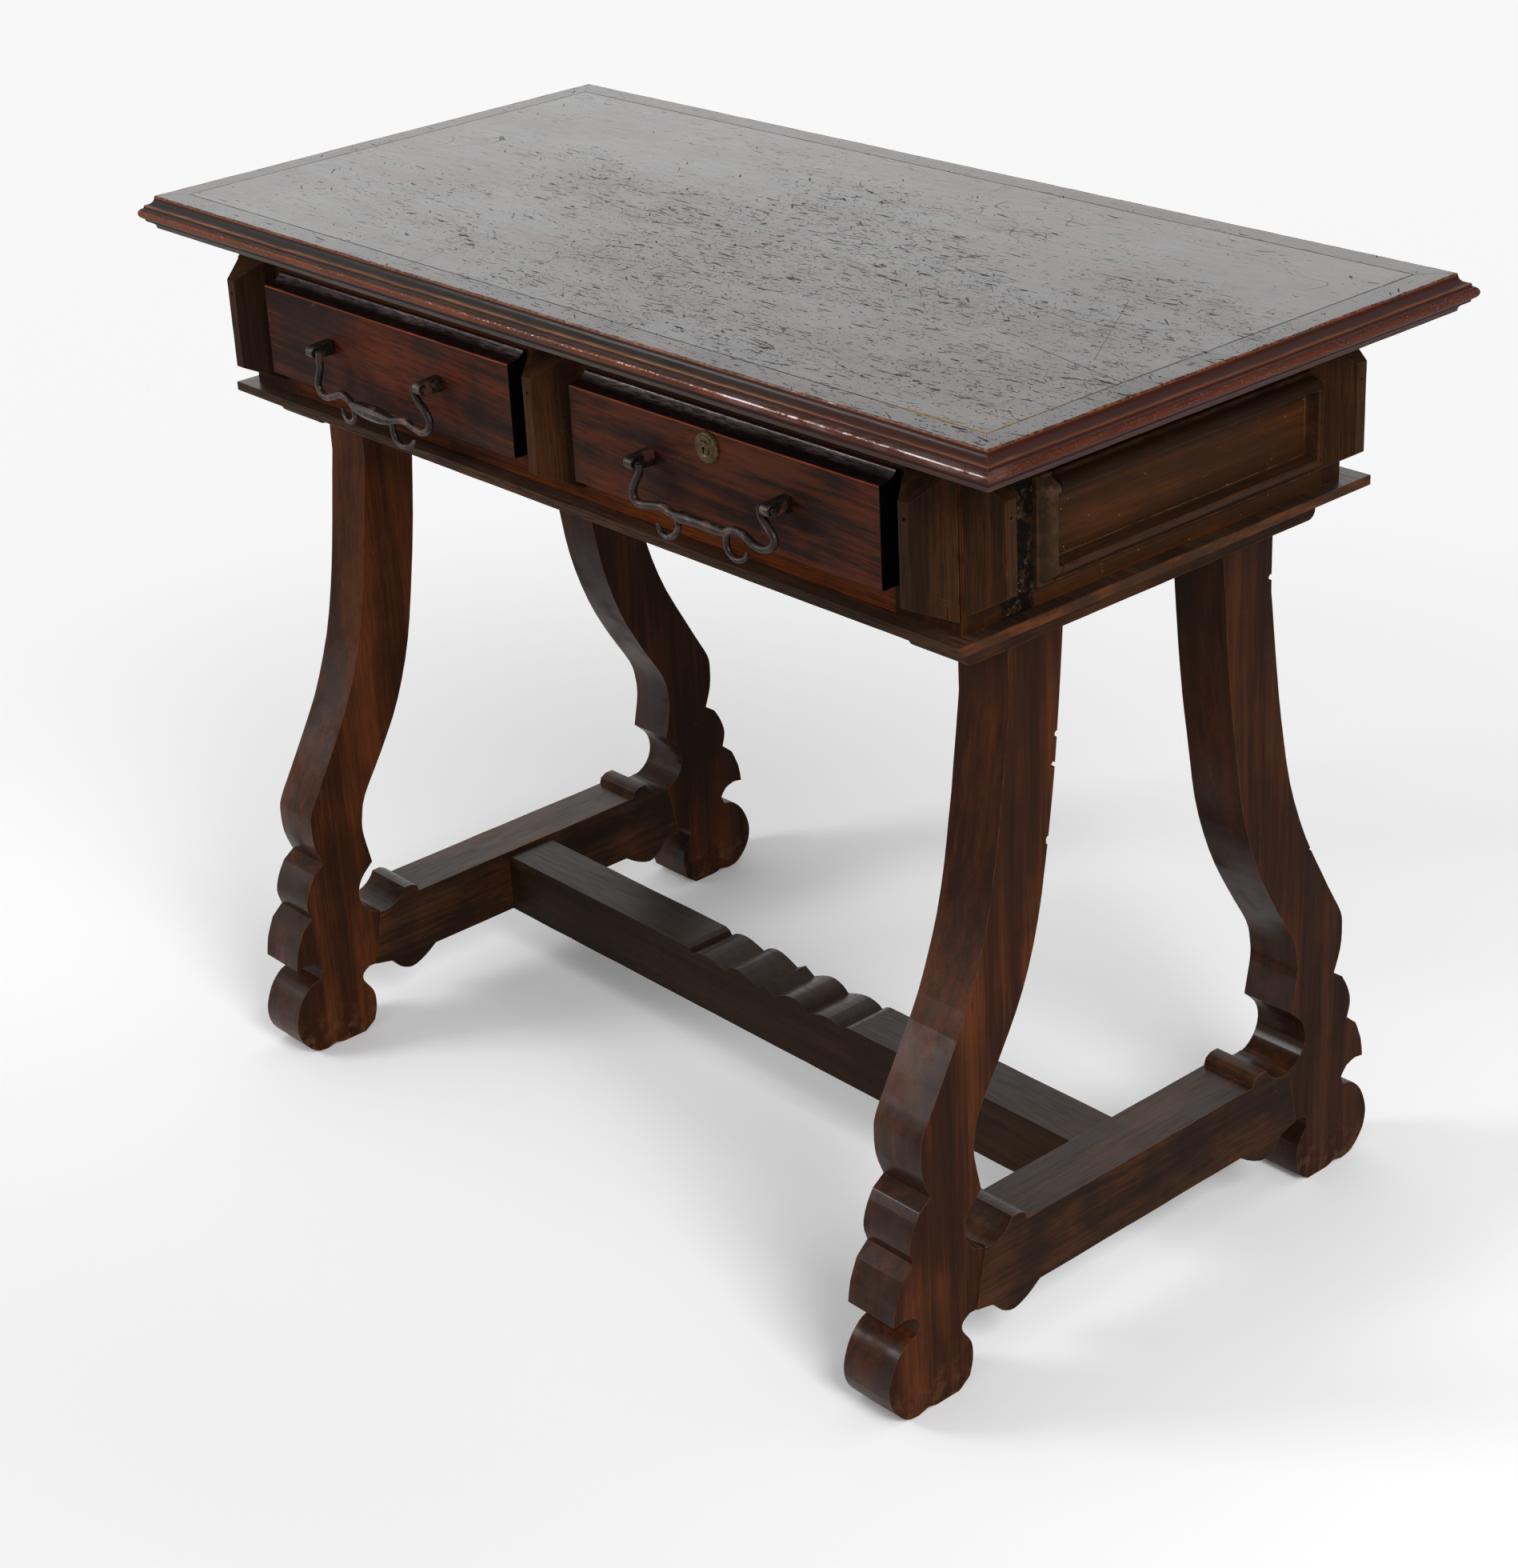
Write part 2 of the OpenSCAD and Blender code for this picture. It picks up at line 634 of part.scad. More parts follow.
// Bail: one bent bar, hung between the posts, with a hook at each end of the grip. An arm
// or hook is a row of points: distance out from the arm's upper end, height against the
// pivot. A grip is a row of points: distance from the middle, height, share of its thickness.
arm_gap = 0.6;
arm_x = post_span / 2 - post_w / 2 - arm_d / 2 - arm_gap;
left_arms = [
    [[0, 1], [0.3, -5], [0, -11.5], [3.5, -20.5], [6, -28.5], [2, -34.5], [-6, -36.5],
     [-18, -32.5], [-27, -29], [-35, -30.5], [-41, -34.5]],
    [[0, 1], [0, -5], [4.5, -11.5], [12, -17], [16.5, -22.5], [17.5, -28], [13.5, -34],
     [5, -37.5], [-5.5, -35.5], [-15.5, -33], [-25.5, -34], [-34, -36.5]]];
left_hooks = [
    [[-42.5, -35.5], [-44, -40.5], [-43.5, -46.5], [-38.5, -50.5], [-32.5, -50.5], [-28, -46.5],
     [-26.5, -41]],
    [[-34, -37.5], [-34.5, -45.5], [-30.5, -52.5], [-22, -55.5], [-13.5, -53.5], [-8, -49.5],
     [-6.5, -46]]];
left_grip = [[-17, -35.5, 0.8], [0, -36, 1], [17, -36.5, 0.95], [26, -36.8, 0.7]];
right_arms = [
    [[0, 1], [0.5, -6], [4.5, -12], [9, -20.5], [8.5, -27.5], [3, -30.5], [-6, -29.5],
     [-15.5, -27.5], [-24.5, -26.5], [-31, -28.5], [-37, -29.5]],
    [[0, 1], [0, -5], [3.5, -10], [9, -15], [13, -19.5], [13, -24.5], [7.5, -29.5],
     [-0.5, -31.5], [-9, -30.5], [-17, -26.5], [-24, -24.5], [-32, -25.5], [-39.5, -29]]];
right_hooks = [
    [[-38.5, -30.5], [-41, -36], [-37.5, -43.5], [-29, -49], [-22, -48], [-18, -44], [-17, -40.5]],
    [[-37.5, -29.5], [-38.5, -36.5], [-36, -43], [-28.5, -47], [-21.5, -45.5], [-17, -41.5],
     [-16.5, -38]]];
right_grip = [[-21, -29.5, 1], [-3, -28.8, 0.82], [17, -29, 0.9]];
// An arm's points with their thickness, on the left or the right of the middle
function side_line(p, m, d) = [for (q = p) [m * (arm_x + q[0]), q[1], d]];
function reverse(p) = [for (i = [len(p) - 1:-1:0]) p[i]];
function bail_line(arms, grip, d) = concat(
    smooth(side_line(arms[0], -1, arm_d), 2),
    smooth([for (g = grip) [g[0], g[1], g[2] * d]], 2),
    smooth(reverse(side_line(arms[1], 1, arm_d)), 2));
// A bar of round section along points in the XZ plane, each with its thickness
module bar(p, sides = 10) {
    n = len(p);
    ring = [for (i = [0:n - 1]) let (
            d = p[min(i + 1, n - 1)] - p[max(i - 1, 0)],
            u = [d[0], d[1]] / norm([d[0], d[1]]),
            r = p[i][2] / 2)
        for (k = [0:sides - 1]) let (a = 360 * k / sides)
            [p[i][0] - u[1] * r * cos(a), r * sin(a), p[i][1] + u[0] * r * cos(a)]];
    faces = concat(
        [[for (k = [sides - 1:-1:0]) k]],
        [for (i = [0:n - 2], k = [0:sides - 1]) let (m = (k + 1) % sides)
            [i * sides + k, (i + 1) * sides + m, (i + 1) * sides + k]],
        [for (i = [0:n - 2], k = [0:sides - 1]) let (m = (k + 1) % sides)
            [i * sides + k, i * sides + m, (i + 1) * sides + m]],
        [[for (k = [0:sides - 1]) (n - 1) * sides + k]]);
    polyhedron(ring, faces, convexity = 6);
}
hook_sides = 8;
hook_taper = 0.55;
pin_reach = 2;
module bail(s, arms, hooks, grip, d) {
    color(iron) at_drawer(s) translate([0, -case_hd - face_t - pivot_out, face_z + pivot_h]) {
        bar(bail_line(arms, grip, d));
        for (m = [0, 1]) {
            hook = smooth(side_line(hooks[m], 2 * m - 1, hook_d), 2);
            last = len(hook) - 1;
            bar([for (i = [0:last]) let (q = hook[i])
                [q[0], q[1], q[2] * (1 - hook_taper * pow(i / last, 3))]], hook_sides);
            mirror([m, 0, 0]) translate([arm_x - 1, 0, 0]) rotate([0, 90, 0])
                cylinder(d = pivot_d, h = post_span / 2 + post_w / 2 + pin_reach - arm_x);
        }
    }
}
module bail_left() { bail(-1, left_arms, left_hooks, left_grip, grip_left_d); }
module bail_right() { bail(1, right_arms, right_hooks, right_grip, grip_right_d); }

// Lock on the right drawer
lock_z = face_z + lock_h;
plug_r = 5.5;
module lock_barrel(r, extra) {
    translate([lock_x, -case_hd - face_t - extra, lock_z]) rotate([-90, 0, 0])
        cylinder(r = r, h = face_t + 2 * extra);
}
module keyhole() {
    translate([lock_x, -case_hd - face_t - rosette_t - 1, lock_z]) {
        rotate([-90, 0, 0]) cylinder(d = 3.2, h = rosette_t + face_t);
        translate([-0.9, 0, -4]) cube([1.8, rosette_t + face_t, 4]);
    }
}
module lock_rosette() {
    r = rosette_d / 2;
    color(brass) difference() {
        union() {
            translate([lock_x, -case_hd - face_t, lock_z]) rotate([90, 0, 0]) rotate_extrude()
                polygon(concat([[0, 0], [r, 0], [r, 1]],
                    [[r - 1.2, 2.4], [r - 3, 2.6], [r - 3.6, 3.4], [plug_r + 1, 3.8], [plug_r, 3.2],
                     [plug_r - 0.6, rosette_t], [0, rosette_t]]));
            lock_barrel(barrel_d / 2, 0);
        }
        keyhole();
    }
}
lock_case_w = 50;
lock_case_h = 36;
lock_case_t = 9;
lock_plate = 1.6;
lock_top = open_top_z - 4;
bolt_h = 22;
bolt_z = lock_top - bolt_h;
module bolt_block(g, up) {
    translate([lock_x - bolt_w / 2 - g, -case_hd + (lock_case_t - bolt_t) / 2 - g, bolt_z - g])
        cube([bolt_w + 2 * g, bolt_t + 2 * g, bolt_h + up + 2 * g]);
}
module lock_case() {
    color(iron) difference() {
        translate([lock_x - lock_case_w / 2, -case_hd, lock_top - lock_case_h])
            cube([lock_case_w, lock_case_t, lock_case_h]);
        bolt_block(slide_gap, bolt_travel);
    }
}
module lock_bolt() { color(brass) bolt_block(0, 0); }
module top_rail() {
    color(wood) difference() {
        frame_bar(-open_out_x, open_out_x, open_top_z, top_z);
        bolt_block(1, bolt_travel);
    }
}

top_board_front();
top_board_back();
edge_front();
edge_back();
edge_left();
edge_right();
side_board_left();
side_board_right();
back_board();
top_rail();
bottom_rail();
stile_left();
stile_right();
stile_centre();
partition();
drawer_runners();
drawer_guides();
drawer_kickers();
base_board_front();
base_board_back();
side_moulding_left();
side_moulding_right();
back_moulding();
bracket_front_left();
bracket_front_centre();
bracket_front_right();
bracket_back_left();
bracket_back_centre();
bracket_back_right();
bracket_side_front_left();
bracket_side_front_right();
bracket_side_back_left();
bracket_side_back_right();
bracket_nails();
leg_front_left();
leg_front_right();
leg_back_left();
leg_back_right();
end_rail_left();
end_rail_right();
bearer_left();
bearer_right();
stretcher();
drawer_left_front();
drawer_left_sides();
drawer_left_back();
drawer_left_bottom();
drawer_right_front();
drawer_right_sides();
drawer_right_back();
drawer_right_bottom();
handle_posts_left();
handle_posts_right();
bail_left();
bail_right();
lock_rosette();
lock_case();
lock_bolt();
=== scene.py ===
import json
import math

import bpy
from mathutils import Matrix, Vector


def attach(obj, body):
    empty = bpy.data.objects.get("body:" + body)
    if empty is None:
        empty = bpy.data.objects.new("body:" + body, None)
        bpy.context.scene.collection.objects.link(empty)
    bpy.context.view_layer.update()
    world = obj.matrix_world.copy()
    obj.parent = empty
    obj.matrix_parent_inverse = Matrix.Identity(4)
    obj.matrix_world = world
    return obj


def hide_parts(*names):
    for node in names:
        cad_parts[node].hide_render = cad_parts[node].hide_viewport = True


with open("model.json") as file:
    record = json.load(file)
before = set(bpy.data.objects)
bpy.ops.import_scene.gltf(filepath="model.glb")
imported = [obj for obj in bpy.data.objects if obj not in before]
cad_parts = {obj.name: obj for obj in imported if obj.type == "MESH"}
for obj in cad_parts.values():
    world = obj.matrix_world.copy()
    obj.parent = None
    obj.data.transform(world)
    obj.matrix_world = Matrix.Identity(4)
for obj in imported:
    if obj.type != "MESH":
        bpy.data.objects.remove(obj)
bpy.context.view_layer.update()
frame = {"nodes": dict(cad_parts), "record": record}
mm = 0.001
print("frame loaded:", len(frame["nodes"]), "nodes")


# Camera at the photograph's angle. The shift only frames the picture.
cameraLook = {
    "place": (1.8283, -1.6024, 1.4829),
    "turn": (65.601, 3.740, 50.223),      # degrees
    "lens": 72.57,
    "shift": (0.0927, -0.0476),
}


def addCamera():
    angles = [math.radians(a) for a in cameraLook["turn"]]
    bpy.ops.object.camera_add(location=cameraLook["place"], rotation=angles)
    camera = bpy.context.object
    camera.name = "camera"
    camera.data.lens = cameraLook["lens"]
    camera.data.shift_x, camera.data.shift_y = cameraLook["shift"]
    camera.data.clip_start = 0.05
    camera.data.clip_end = 50
    bpy.context.scene.camera = camera


addCamera()
print("camera placed")


# A socket that can be written in sums
class Wire:
    def __init__(self, tree, socket=None):
        self.tree = tree
        self.socket = socket

    def add(self, kind, settings=None, values=None, out=0):
        node = self.tree.nodes.new("ShaderNode" + kind)
        for key, value in (settings or {}).items():
            if key == "stops":
                ramp = node.color_ramp
                while len(ramp.elements) < len(value):
                    ramp.elements.new(0.5)
                for stop, (place, colour) in zip(ramp.elements, value):
                    stop.position = place
                    stop.color = (*colour, 1)
            else:
                setattr(node, key, value)
        for key, value in (values or {}).items():
            if isinstance(value, Wire):
                self.tree.links.new(value.socket, node.inputs[key])
            else:
                node.inputs[key].default_value = value
        return Wire(self.tree, node.outputs[out])

    def calc(self, operation, *values):
        return self.add("Math", {"operation": operation}, dict(enumerate(values)))

    def __add__(self, other):
        return self.calc("ADD", self, other)

    def __radd__(self, other):
        return self.calc("ADD", other, self)

    def __sub__(self, other):
        return self.calc("SUBTRACT", self, other)

    def __rsub__(self, other):
        return self.calc("SUBTRACT", other, self)

    def __mul__(self, other):
        return self.calc("MULTIPLY", self, other)

    def __rmul__(self, other):
        return self.calc("MULTIPLY", other, self)

    def __truediv__(self, other):
        return self.calc("DIVIDE", self, other)

    def __abs__(self):
        return self.calc("ABSOLUTE", self)

    def most(self, other):
        return self.calc("MAXIMUM", self, other)

    def least(self, other):
        return self.calc("MINIMUM", self, other)

    def fade(self, low, high, start=0.0, end=1.0):
        values = {"Value": self, "From Min": low, "From Max": high, "To Min": start, "To Max": end}
        return self.add("MapRange", {"interpolation_type": "SMOOTHSTEP"}, values)

    # Value between self and other
    def lean(self, other, share):
        return self + (other - self) * share

    # Colour between first and second: sockets 6 and 7 of a Mix node, and its output 2
    def mixed(self, share, first, second):
        return self.add("Mix", {"data_type": "RGBA"}, {0: share, 6: first, 7: second}, out=2)

    # Colour between self and other
    def blend(self, other, share):
        return self.mixed(share, self, other)

    def dot(self, other):
        return self.add("VectorMath", {"operation": "DOT_PRODUCT"}, {0: self, 1: other}, out="Value")

    def shifted(self, other):
        return self.add("VectorMath", {"operation": "ADD"}, {0: self, 1: other})

    def scaled(self, sizes, turn=(0, 0, 0), place=(0, 0, 0)):
        values = {"Vector": self, "Scale": sizes, "Location": place}
        values["Rotation"] = [math.radians(a) for a in turn]
        return self.add("Mapping", None, values)

    # The pattern drawn out along one axis: a small share makes long marks
    def stretched(self, axis, share):
        return self.scaled([share if a == axis else 1.0 for a in "XYZ"])

    # The pattern turned about Z, then drawn out
    def drawn(self, degrees, share):
        return self.scaled((1, 1, 1), turn=(0, 0, degrees)).stretched("X", share)

    def noise(self, scale, detail=3.0, rough=0.55):
        values = {"Vector": self, "Scale": scale, "Detail": detail, "Roughness": rough}
        return self.add("TexNoise", None, values)

    def cells(self, scale):
        return self.add("TexVoronoi", None, {"Vector": self, "Scale": scale})

    def part(self, axis):
        return self.add("SeparateXYZ", None, {"Vector": self}, out=axis)

    # The normal of the surface, before any bump
    def facing(self):
        return self.add("NewGeometry", out="Normal")

    # The normal with self as height
    def bumped(self, strength, distance):
        values = {"Strength": strength, "Distance": distance, "Height": self}
        return self.add("Bump", None, values)


def newMaterial(name):
    material = bpy.data.materials.new(name)
    material.use_nodes = True
    tree = material.node_tree
    tree.nodes.clear()
    output = tree.nodes.new("ShaderNodeOutputMaterial")
    shader = tree.nodes.new("ShaderNodeBsdfPrincipled")
    tree.links.new(shader.outputs[0], output.inputs[0])
    return material, shader, Wire(tree)


def plug(shader, values):
    for name, value in values.items():
        if isinstance(value, Wire):
            value.tree.links.new(value.socket, shader.inputs[name])
        else:
            shader.inputs[name].default_value = value


def rgb(red, green, blue):
    linear = [((c / 255 + 0.055) / 1.055) ** 2.4 if c > 10 else c / 255 / 12.92
              for c in (red, green, blue)]
    return (*linear, 1)


# Arrises: how far the true normal departs from the normal of a rounded copy
def arrisMask(wire, radius):
    soft = wire.add("Bevel", {"samples": 6}, {"Radius": radius})
    return 1 - soft.dot(wire.facing())


woodLook = {
    "deep": rgb(26, 14, 8),
    "body": rgb(52, 28, 15),
    "warm": rgb(76, 38, 18),
    "rubbed": rgb(118, 66, 34),
    "warmth": 0.45,         # how much of the surface shows the warm colour
    "figure": 26.0,         # broad bands per metre across the grain
    "fibre": 700.0,
    "stain": 5.0,
    "slope": 0,             # degrees that the grain leans
    "contrast": 0.5,        # of the fine grain lines
    "wear": 0.6,
    "wearWidth": 1.4 * mm,
    "rough": (0.38, 0.54),
    "specular": 0.03,
    "coat": 0.0,
    "coatRough": 0.28,
    "waxed": 0.20,          # sheen of the faces that look up
    "relief": 0.28,
    "scratches": 0.4,
}


def woodMaterial(name, axis, touch=None, **changes):
    look = {**woodLook, **changes}
    material, shader, wire = newMaterial(name)
    place = wire.add("TexCoord", out="Object")
    drift = place.noise(2.2, 2.0).scaled((0.020, 0.020, 0.020), place=(-0.010,) * 3)
    grain = place.shifted(drift).scaled((1, 1, 1), turn=(0, look["slope"], 0))
    figure = grain.stretched(axis, 0.07).noise(look["figure"])
    band = grain.stretched(axis, 0.035).noise(look["figure"] * 6.0, 3.0, 0.6)
    fibre = grain.stretched(axis, 0.035).noise(look["fibre"], 2.0, 0.65)
    pores = grain.stretched(axis, 0.06).noise(look["fibre"] * 1.4, 1.0, 0.5)
    stain = place.noise(look["stain"], 4.0, 0.6)
    tone = (figure * 0.50 + band * 0.22 + stain * 0.28).fade(0.31, 0.69)
    colour = wire.mixed(tone, look["deep"], look["body"])
    warmPart = (stain * 0.45 + figure * 0.35 + band * 0.20).fade(0.46, 0.62) * look["warmth"]
    colour = colour.blend(look["warm"], warmPart)
    darkFibre = fibre.fade(0.54, 0.36) * look["contrast"]
    darkPore = pores.fade(0.64, 0.70) * look["contrast"]
    colour = colour.blend(look["deep"], (darkFibre + darkPore).least(0.9))
    # short pale scratches, in two directions
    cut = place.scaled((1, 1, 1), turn=(31, 17, 24)).stretched("X", 0.10).noise(120.0, 1.0)
    cutTwo = place.scaled((1, 1, 1), turn=(-40, 12, -33)).stretched("Y", 0.09).noise(95.0, 1.0)
    thin = abs(cut - 0.5).fade(0.0035, 0.0) + abs(cutTwo - 0.5).fade(0.0030, 0.0)
    seldom = place.noise(30.0, 1.0).fade(0.63, 0.73)
    scratch = (thin * seldom * look["scratches"]).least(0.7)
    # small chips and specks of dust
    chip = place.cells(85.0).fade(0.075, 0.045) * place.noise(55.0, 1.0).fade(0.62, 0.66)
    scratch = scratch.most(chip * look["scratches"])
    colour = colour.blend(look["rubbed"], scratch)
    # arrises rubbed to the bare wood
    edge = arrisMask(wire, look["wearWidth"])
    patchy = place.noise(60.0, 4.0, 0.7).fade(0.38, 0.62)
    worn = (edge.fade(0.02, 0.22) * (0.15 + patchy * 0.85) * look["wear"]).least(0.9)
    colour = colour.blend(look["rubbed"], worn)
    low, high = look["rough"]
    gloss = low + (high - low) * (stain * 0.4 + fibre * 0.6).fade(0.3, 0.7) + scratch * 0.2
    coat = look["coat"]
    if touch:
        colour, gloss, coat = touch(place, colour, gloss, coat)
    upward = wire.facing().part("Z").fade(0.70, 0.97)
    coat = (upward * (look["waxed"] - fibre.fade(0.40, 0.65) * look["waxed"] * 0.4)).most(coat)
    height = fibre * 0.35 + band * 0.25 - darkPore * 0.5 - scratch * 0.6 + place.noise(42.0) * 1.2
    plug(shader, {"Base Color": colour, "Roughness": gloss, "Specular IOR Level": look["specular"],
                  "Coat Weight": coat, "Coat Roughness": look["coatRough"],
                  "Normal": height.bumped(look["relief"], 0.6 * mm)})
    return material


caseWood = {a: woodMaterial("case wood " + a.lower(), a) for a in "XYZ"}
bracketWood = woodMaterial("bracket wood", "Z", deep=rgb(25, 16, 10), body=rgb(50, 32, 19),
                           warm=rgb(78, 42, 19), warmth=0.5, figure=40.0, wear=0.5,
                           rubbed=rgb(122, 80, 46), scratches=0.6)


legLook = {
    "scuffZ": (0.055, -0.005),      # heights between which the feet are scuffed
    "scuffed": rgb(98, 66, 42),
    "polishZ": (0.45, 0.30),
    "shadedForward": rgb(28, 17, 12),
}


# The legs' front faces carry painted shade, and are polished low down. The feet are scuffed to tan.
def legTouch(place, colour, gloss, coat):
    foot = (place.part("Z") + (place.noise(45.0) - 0.5) * 0.04).fade(*legLook["scuffZ"])
    scuff = foot * place.noise(90.0, 4.0, 0.7).fade(0.46, 0.66)
    colour = colour.blend(legLook["scuffed"], scuff * 0.55)
    shadedForward = place.facing().part("Y").fade(-0.30, -0.75)
    # painted shade: the faces turned to the front are darkened
    colour = colour.blend(legLook["shadedForward"], shadedForward * 0.35)
    polish = shadedForward * place.part("Z").fade(*legLook["polishZ"])
    polish = polish * place.noise(24.0).fade(0.20, 0.60)
    return colour, gloss + scuff * 0.2, polish * 0.34


# The back legs take a darker copy of the front legs' wood: painted shade.
legTones = {
    "front": {"deep": rgb(32, 17, 9), "body": rgb(64, 34, 18), "warm": rgb(98, 50, 23)},
    "back": {"deep": rgb(25, 14, 8), "body": rgb(50, 27, 14), "warm": rgb(74, 38, 18)},
}
legWood = {end: woodMaterial(end + " leg wood", "Z", legTouch, warmth=0.6, figure=34.0,
                             contrast=0.32, scratches=0.35, rubbed=rgb(126, 70, 38),
                             coatRough=0.2, waxed=0.35, **tones)
           for end, tones in legTones.items()}
railWood = woodMaterial("rail wood", "Y", deep=rgb(25, 16, 11), body=rgb(52, 34, 22),
                        warm=rgb(84, 48, 26), figure=30.0, stain=14.0, contrast=0.55, waxed=0.65,
                        rubbed=rgb(126, 74, 42), wear=0.75)
stretcherWood = woodMaterial("stretcher wood", "X", deep=rgb(26, 18, 13), body=rgb(50, 36, 27),
                             warm=rgb(66, 40, 24), warmth=0.25, contrast=0.45, waxed=0.55,
                             rubbed=rgb(96, 66, 46))
bottomRailWood = woodMaterial("bottom rail wood", "X", body=rgb(70, 34, 16), warm=rgb(112, 54, 22),
                              warmth=0.8)


ledgeLook = {"outerX": (0.4385, 0.4395), "outer": rgb(58, 36, 23), "rubbed": rgb(104, 54, 26)}


# The outer face of the ledge is rubbed warm on the right side
def ledgeTouch(place, colour, gloss, coat):
    outer = place.part("X").fade(*ledgeLook["outerX"])
    patch = place.stretched("Y", 0.3).noise(60.0, 4.0, 0.65).fade(0.46, 0.64)
    colour = colour.blend(ledgeLook["outer"], outer * 0.6)
    return colour.blend(ledgeLook["rubbed"], outer * patch * 0.5), gloss, coat


ledgeWood = woodMaterial("ledge wood", "X", ledgeTouch, deep=rgb(27, 18, 13), body=rgb(64, 47, 35),
                         warm=rgb(84, 51, 30), warmth=0.3, contrast=0.85, waxed=0.80,
                         rubbed=rgb(124, 76, 44), wear=0.7)

sideBoardLook = {
    "stainY": (-0.166, -0.130),
    "black": rgb(12, 9, 7),
    "crust": rgb(64, 50, 39),
    "dust": rgb(150, 120, 90),
}


# 1 on the right end of the desk, which is seen worn, and 0 on the left end
def onRight(place):
    return place.part("X").fade(0.1, 0.2)


# A black, rough stain between the front bracket and the moulding, and pale specks
def sideBoardTouch(place, colour, gloss, coat):
    rag = (place.noise(60.0, 4.0, 0.7) - 0.5) * 0.020
    y = place.part("Y") + rag
    low, high = sideBoardLook["stainY"]
    inside = y.fade(low, low + 0.006) * y.fade(high + 0.004, high - 0.004) * onRight(place)
    stain = inside * place.noise(110.0, 3.0, 0.6).fade(0.32, 0.50)
    colour = colour.blend(sideBoardLook["black"], stain)
    crust = inside * place.noise(170.0, 3.0, 0.7).fade(0.58, 0.66)
    colour = colour.blend(sideBoardLook["crust"], crust * 0.7)
    dust = place.cells(210.0).fade(0.16, 0.09) * place.noise(60.0, 2.0).fade(0.56, 0.64)
    return colour.blend(sideBoardLook["dust"], dust * 0.45), gloss + stain * 0.25, coat


sideBoardWood = woodMaterial("side board wood", "Y", sideBoardTouch, deep=rgb(34, 20, 10),
                             body=rgb(62, 35, 16), warm=rgb(88, 46, 18), warmth=0.6, contrast=0.35,
                             scratches=0.6)


mouldingLook = {
    "stripY": (-0.1135, -0.1155),   # where the front strip begins
    "grooveY": -0.1130,
    "highZ": (0.690, 0.728),
    "strip": rgb(50, 36, 25),
    "grey": rgb(92, 70, 50),
    "groove": rgb(10, 7, 5),
}


# The front strip of the moulding is worn grey, with a dark groove behind it
def mouldingTouch(place, colour, gloss, coat):
    y = place.part("Y") + (place.noise(80.0) - 0.5) * 0.004
    right = onRight(place)
    strip = y.fade(*mouldingLook["stripY"]) * right
    patch = place.noise(95.0, 4.0, 0.7).fade(0.44, 0.62)
    high = place.part("Z").fade(*mouldingLook["highZ"])
    colour = colour.blend(mouldingLook["strip"], strip * 0.75)
    colour = colour.blend(mouldingLook["grey"], strip * patch * (0.15 + high * 0.5))
    dark = abs(y - mouldingLook["grooveY"]).fade(1.2 * mm, 0.3 * mm) * right
    return colour.blend(mouldingLook["groove"], dark * 0.9), gloss + strip * 0.15, coat


mouldingWood = woodMaterial("moulding wood", "Y", mouldingTouch, deep=rgb(30, 19, 12),
                            body=rgb(56, 36, 22), warm=rgb(74, 42, 22), rubbed=rgb(124, 86, 54),
                            wear=0.6)

frontLook = {
    "faceZ": 0.728,                 # top of the flat face
    "topZ": 0.7360,
    "faceX": 0.20425,               # middle of each front, on either side
    "halfW": 0.16725,
    "slope": -4,                    # degrees that the grain leans
    "rightX": (0.03, 0.05),
    "glow": rgb(92, 44, 22),
    "black": rgb(18, 12, 12),
    "grain": rgb(40, 22, 19),
    "arris": rgb(150, 70, 34),
    "paintedSheen": rgb(104, 88, 90),
    "back": rgb(62, 18, 12),
    "ends": rgb(6, 5, 5),
}


# The crown of a drawer front is painted black as the shade under the top, with a painted mottled sheen
# on its upper part, and is glossy; its ends are painted near black as deep shade, and dull. The face
# of the right drawer glows warmer.
def frontTouch(place, colour, gloss, coat):
    z = place.part("Z")
    faceZ, topZ, halfW = frontLook["faceZ"], frontLook["topZ"], frontLook["halfW"]
    crown = z.fade(faceZ + 0.2 * mm, faceZ + 0.7 * mm)
    ends = abs(abs(place.part("X")) - frontLook["faceX"])
    ends = ends.fade(halfW - 1.0 * mm, halfW - 0.4 * mm)
    mottle = place.stretched("X", 0.13).noise(760.0, 3.0, 0.7)
    blotch = place.stretched("X", 0.4).noise(34.0, 3.0, 0.6).fade(0.42, 0.62)
    streaks = place.scaled((0.10, 1.0, 1.0), turn=(0, frontLook["slope"], 0)).noise(75.0, 4.0, 0.65)
    glow = streaks.fade(0.45, 0.62) * place.part("X").fade(*frontLook["rightX"])
    colour = colour.blend(frontLook["glow"], glow * 0.40)
    # painted shade: the crown is painted black, as the shade under the overhanging top
    colour = colour.blend(frontLook["black"], crown)
    colour = colour.blend(frontLook["grain"], crown * mottle.fade(0.38, 0.66) * (0.3 + blotch * 0.7))
    line = abs(z - faceZ - 0.1 * mm).fade(0.7 * mm, 0.25 * mm)
    colour = colour.blend(frontLook["arris"], line * (0.45 + blotch * 0.4))
    back = z.fade(topZ - 0.8 * mm, topZ - 0.3 * mm)
    colour = colour.blend(frontLook["back"], back * 0.7)
    # painted highlight: a mottled grey-purple sheen painted on the upper part of the crown
    paintedSheen = z.fade(faceZ + 2.2 * mm, faceZ + 4.5 * mm) * (1 - back)
    colour = colour.blend(frontLook["paintedSheen"], paintedSheen * mottle.fade(0.30, 0.70) * (0.35 + blotch * 0.6))
    # painted shade: the ends of each front are painted near black, as deep shade beside the brackets
    colour = colour.blend(frontLook["ends"], ends)
    gloss = gloss.lean(0.34 + mottle.fade(0.40, 0.62) * 0.2, crown)
    shine = mottle.fade(0.34, 0.66) * (0.45 + blotch * 0.55)
    return colour, gloss + ends * 0.3, crown * (1 - ends) * (0.25 + shine * 0.75)


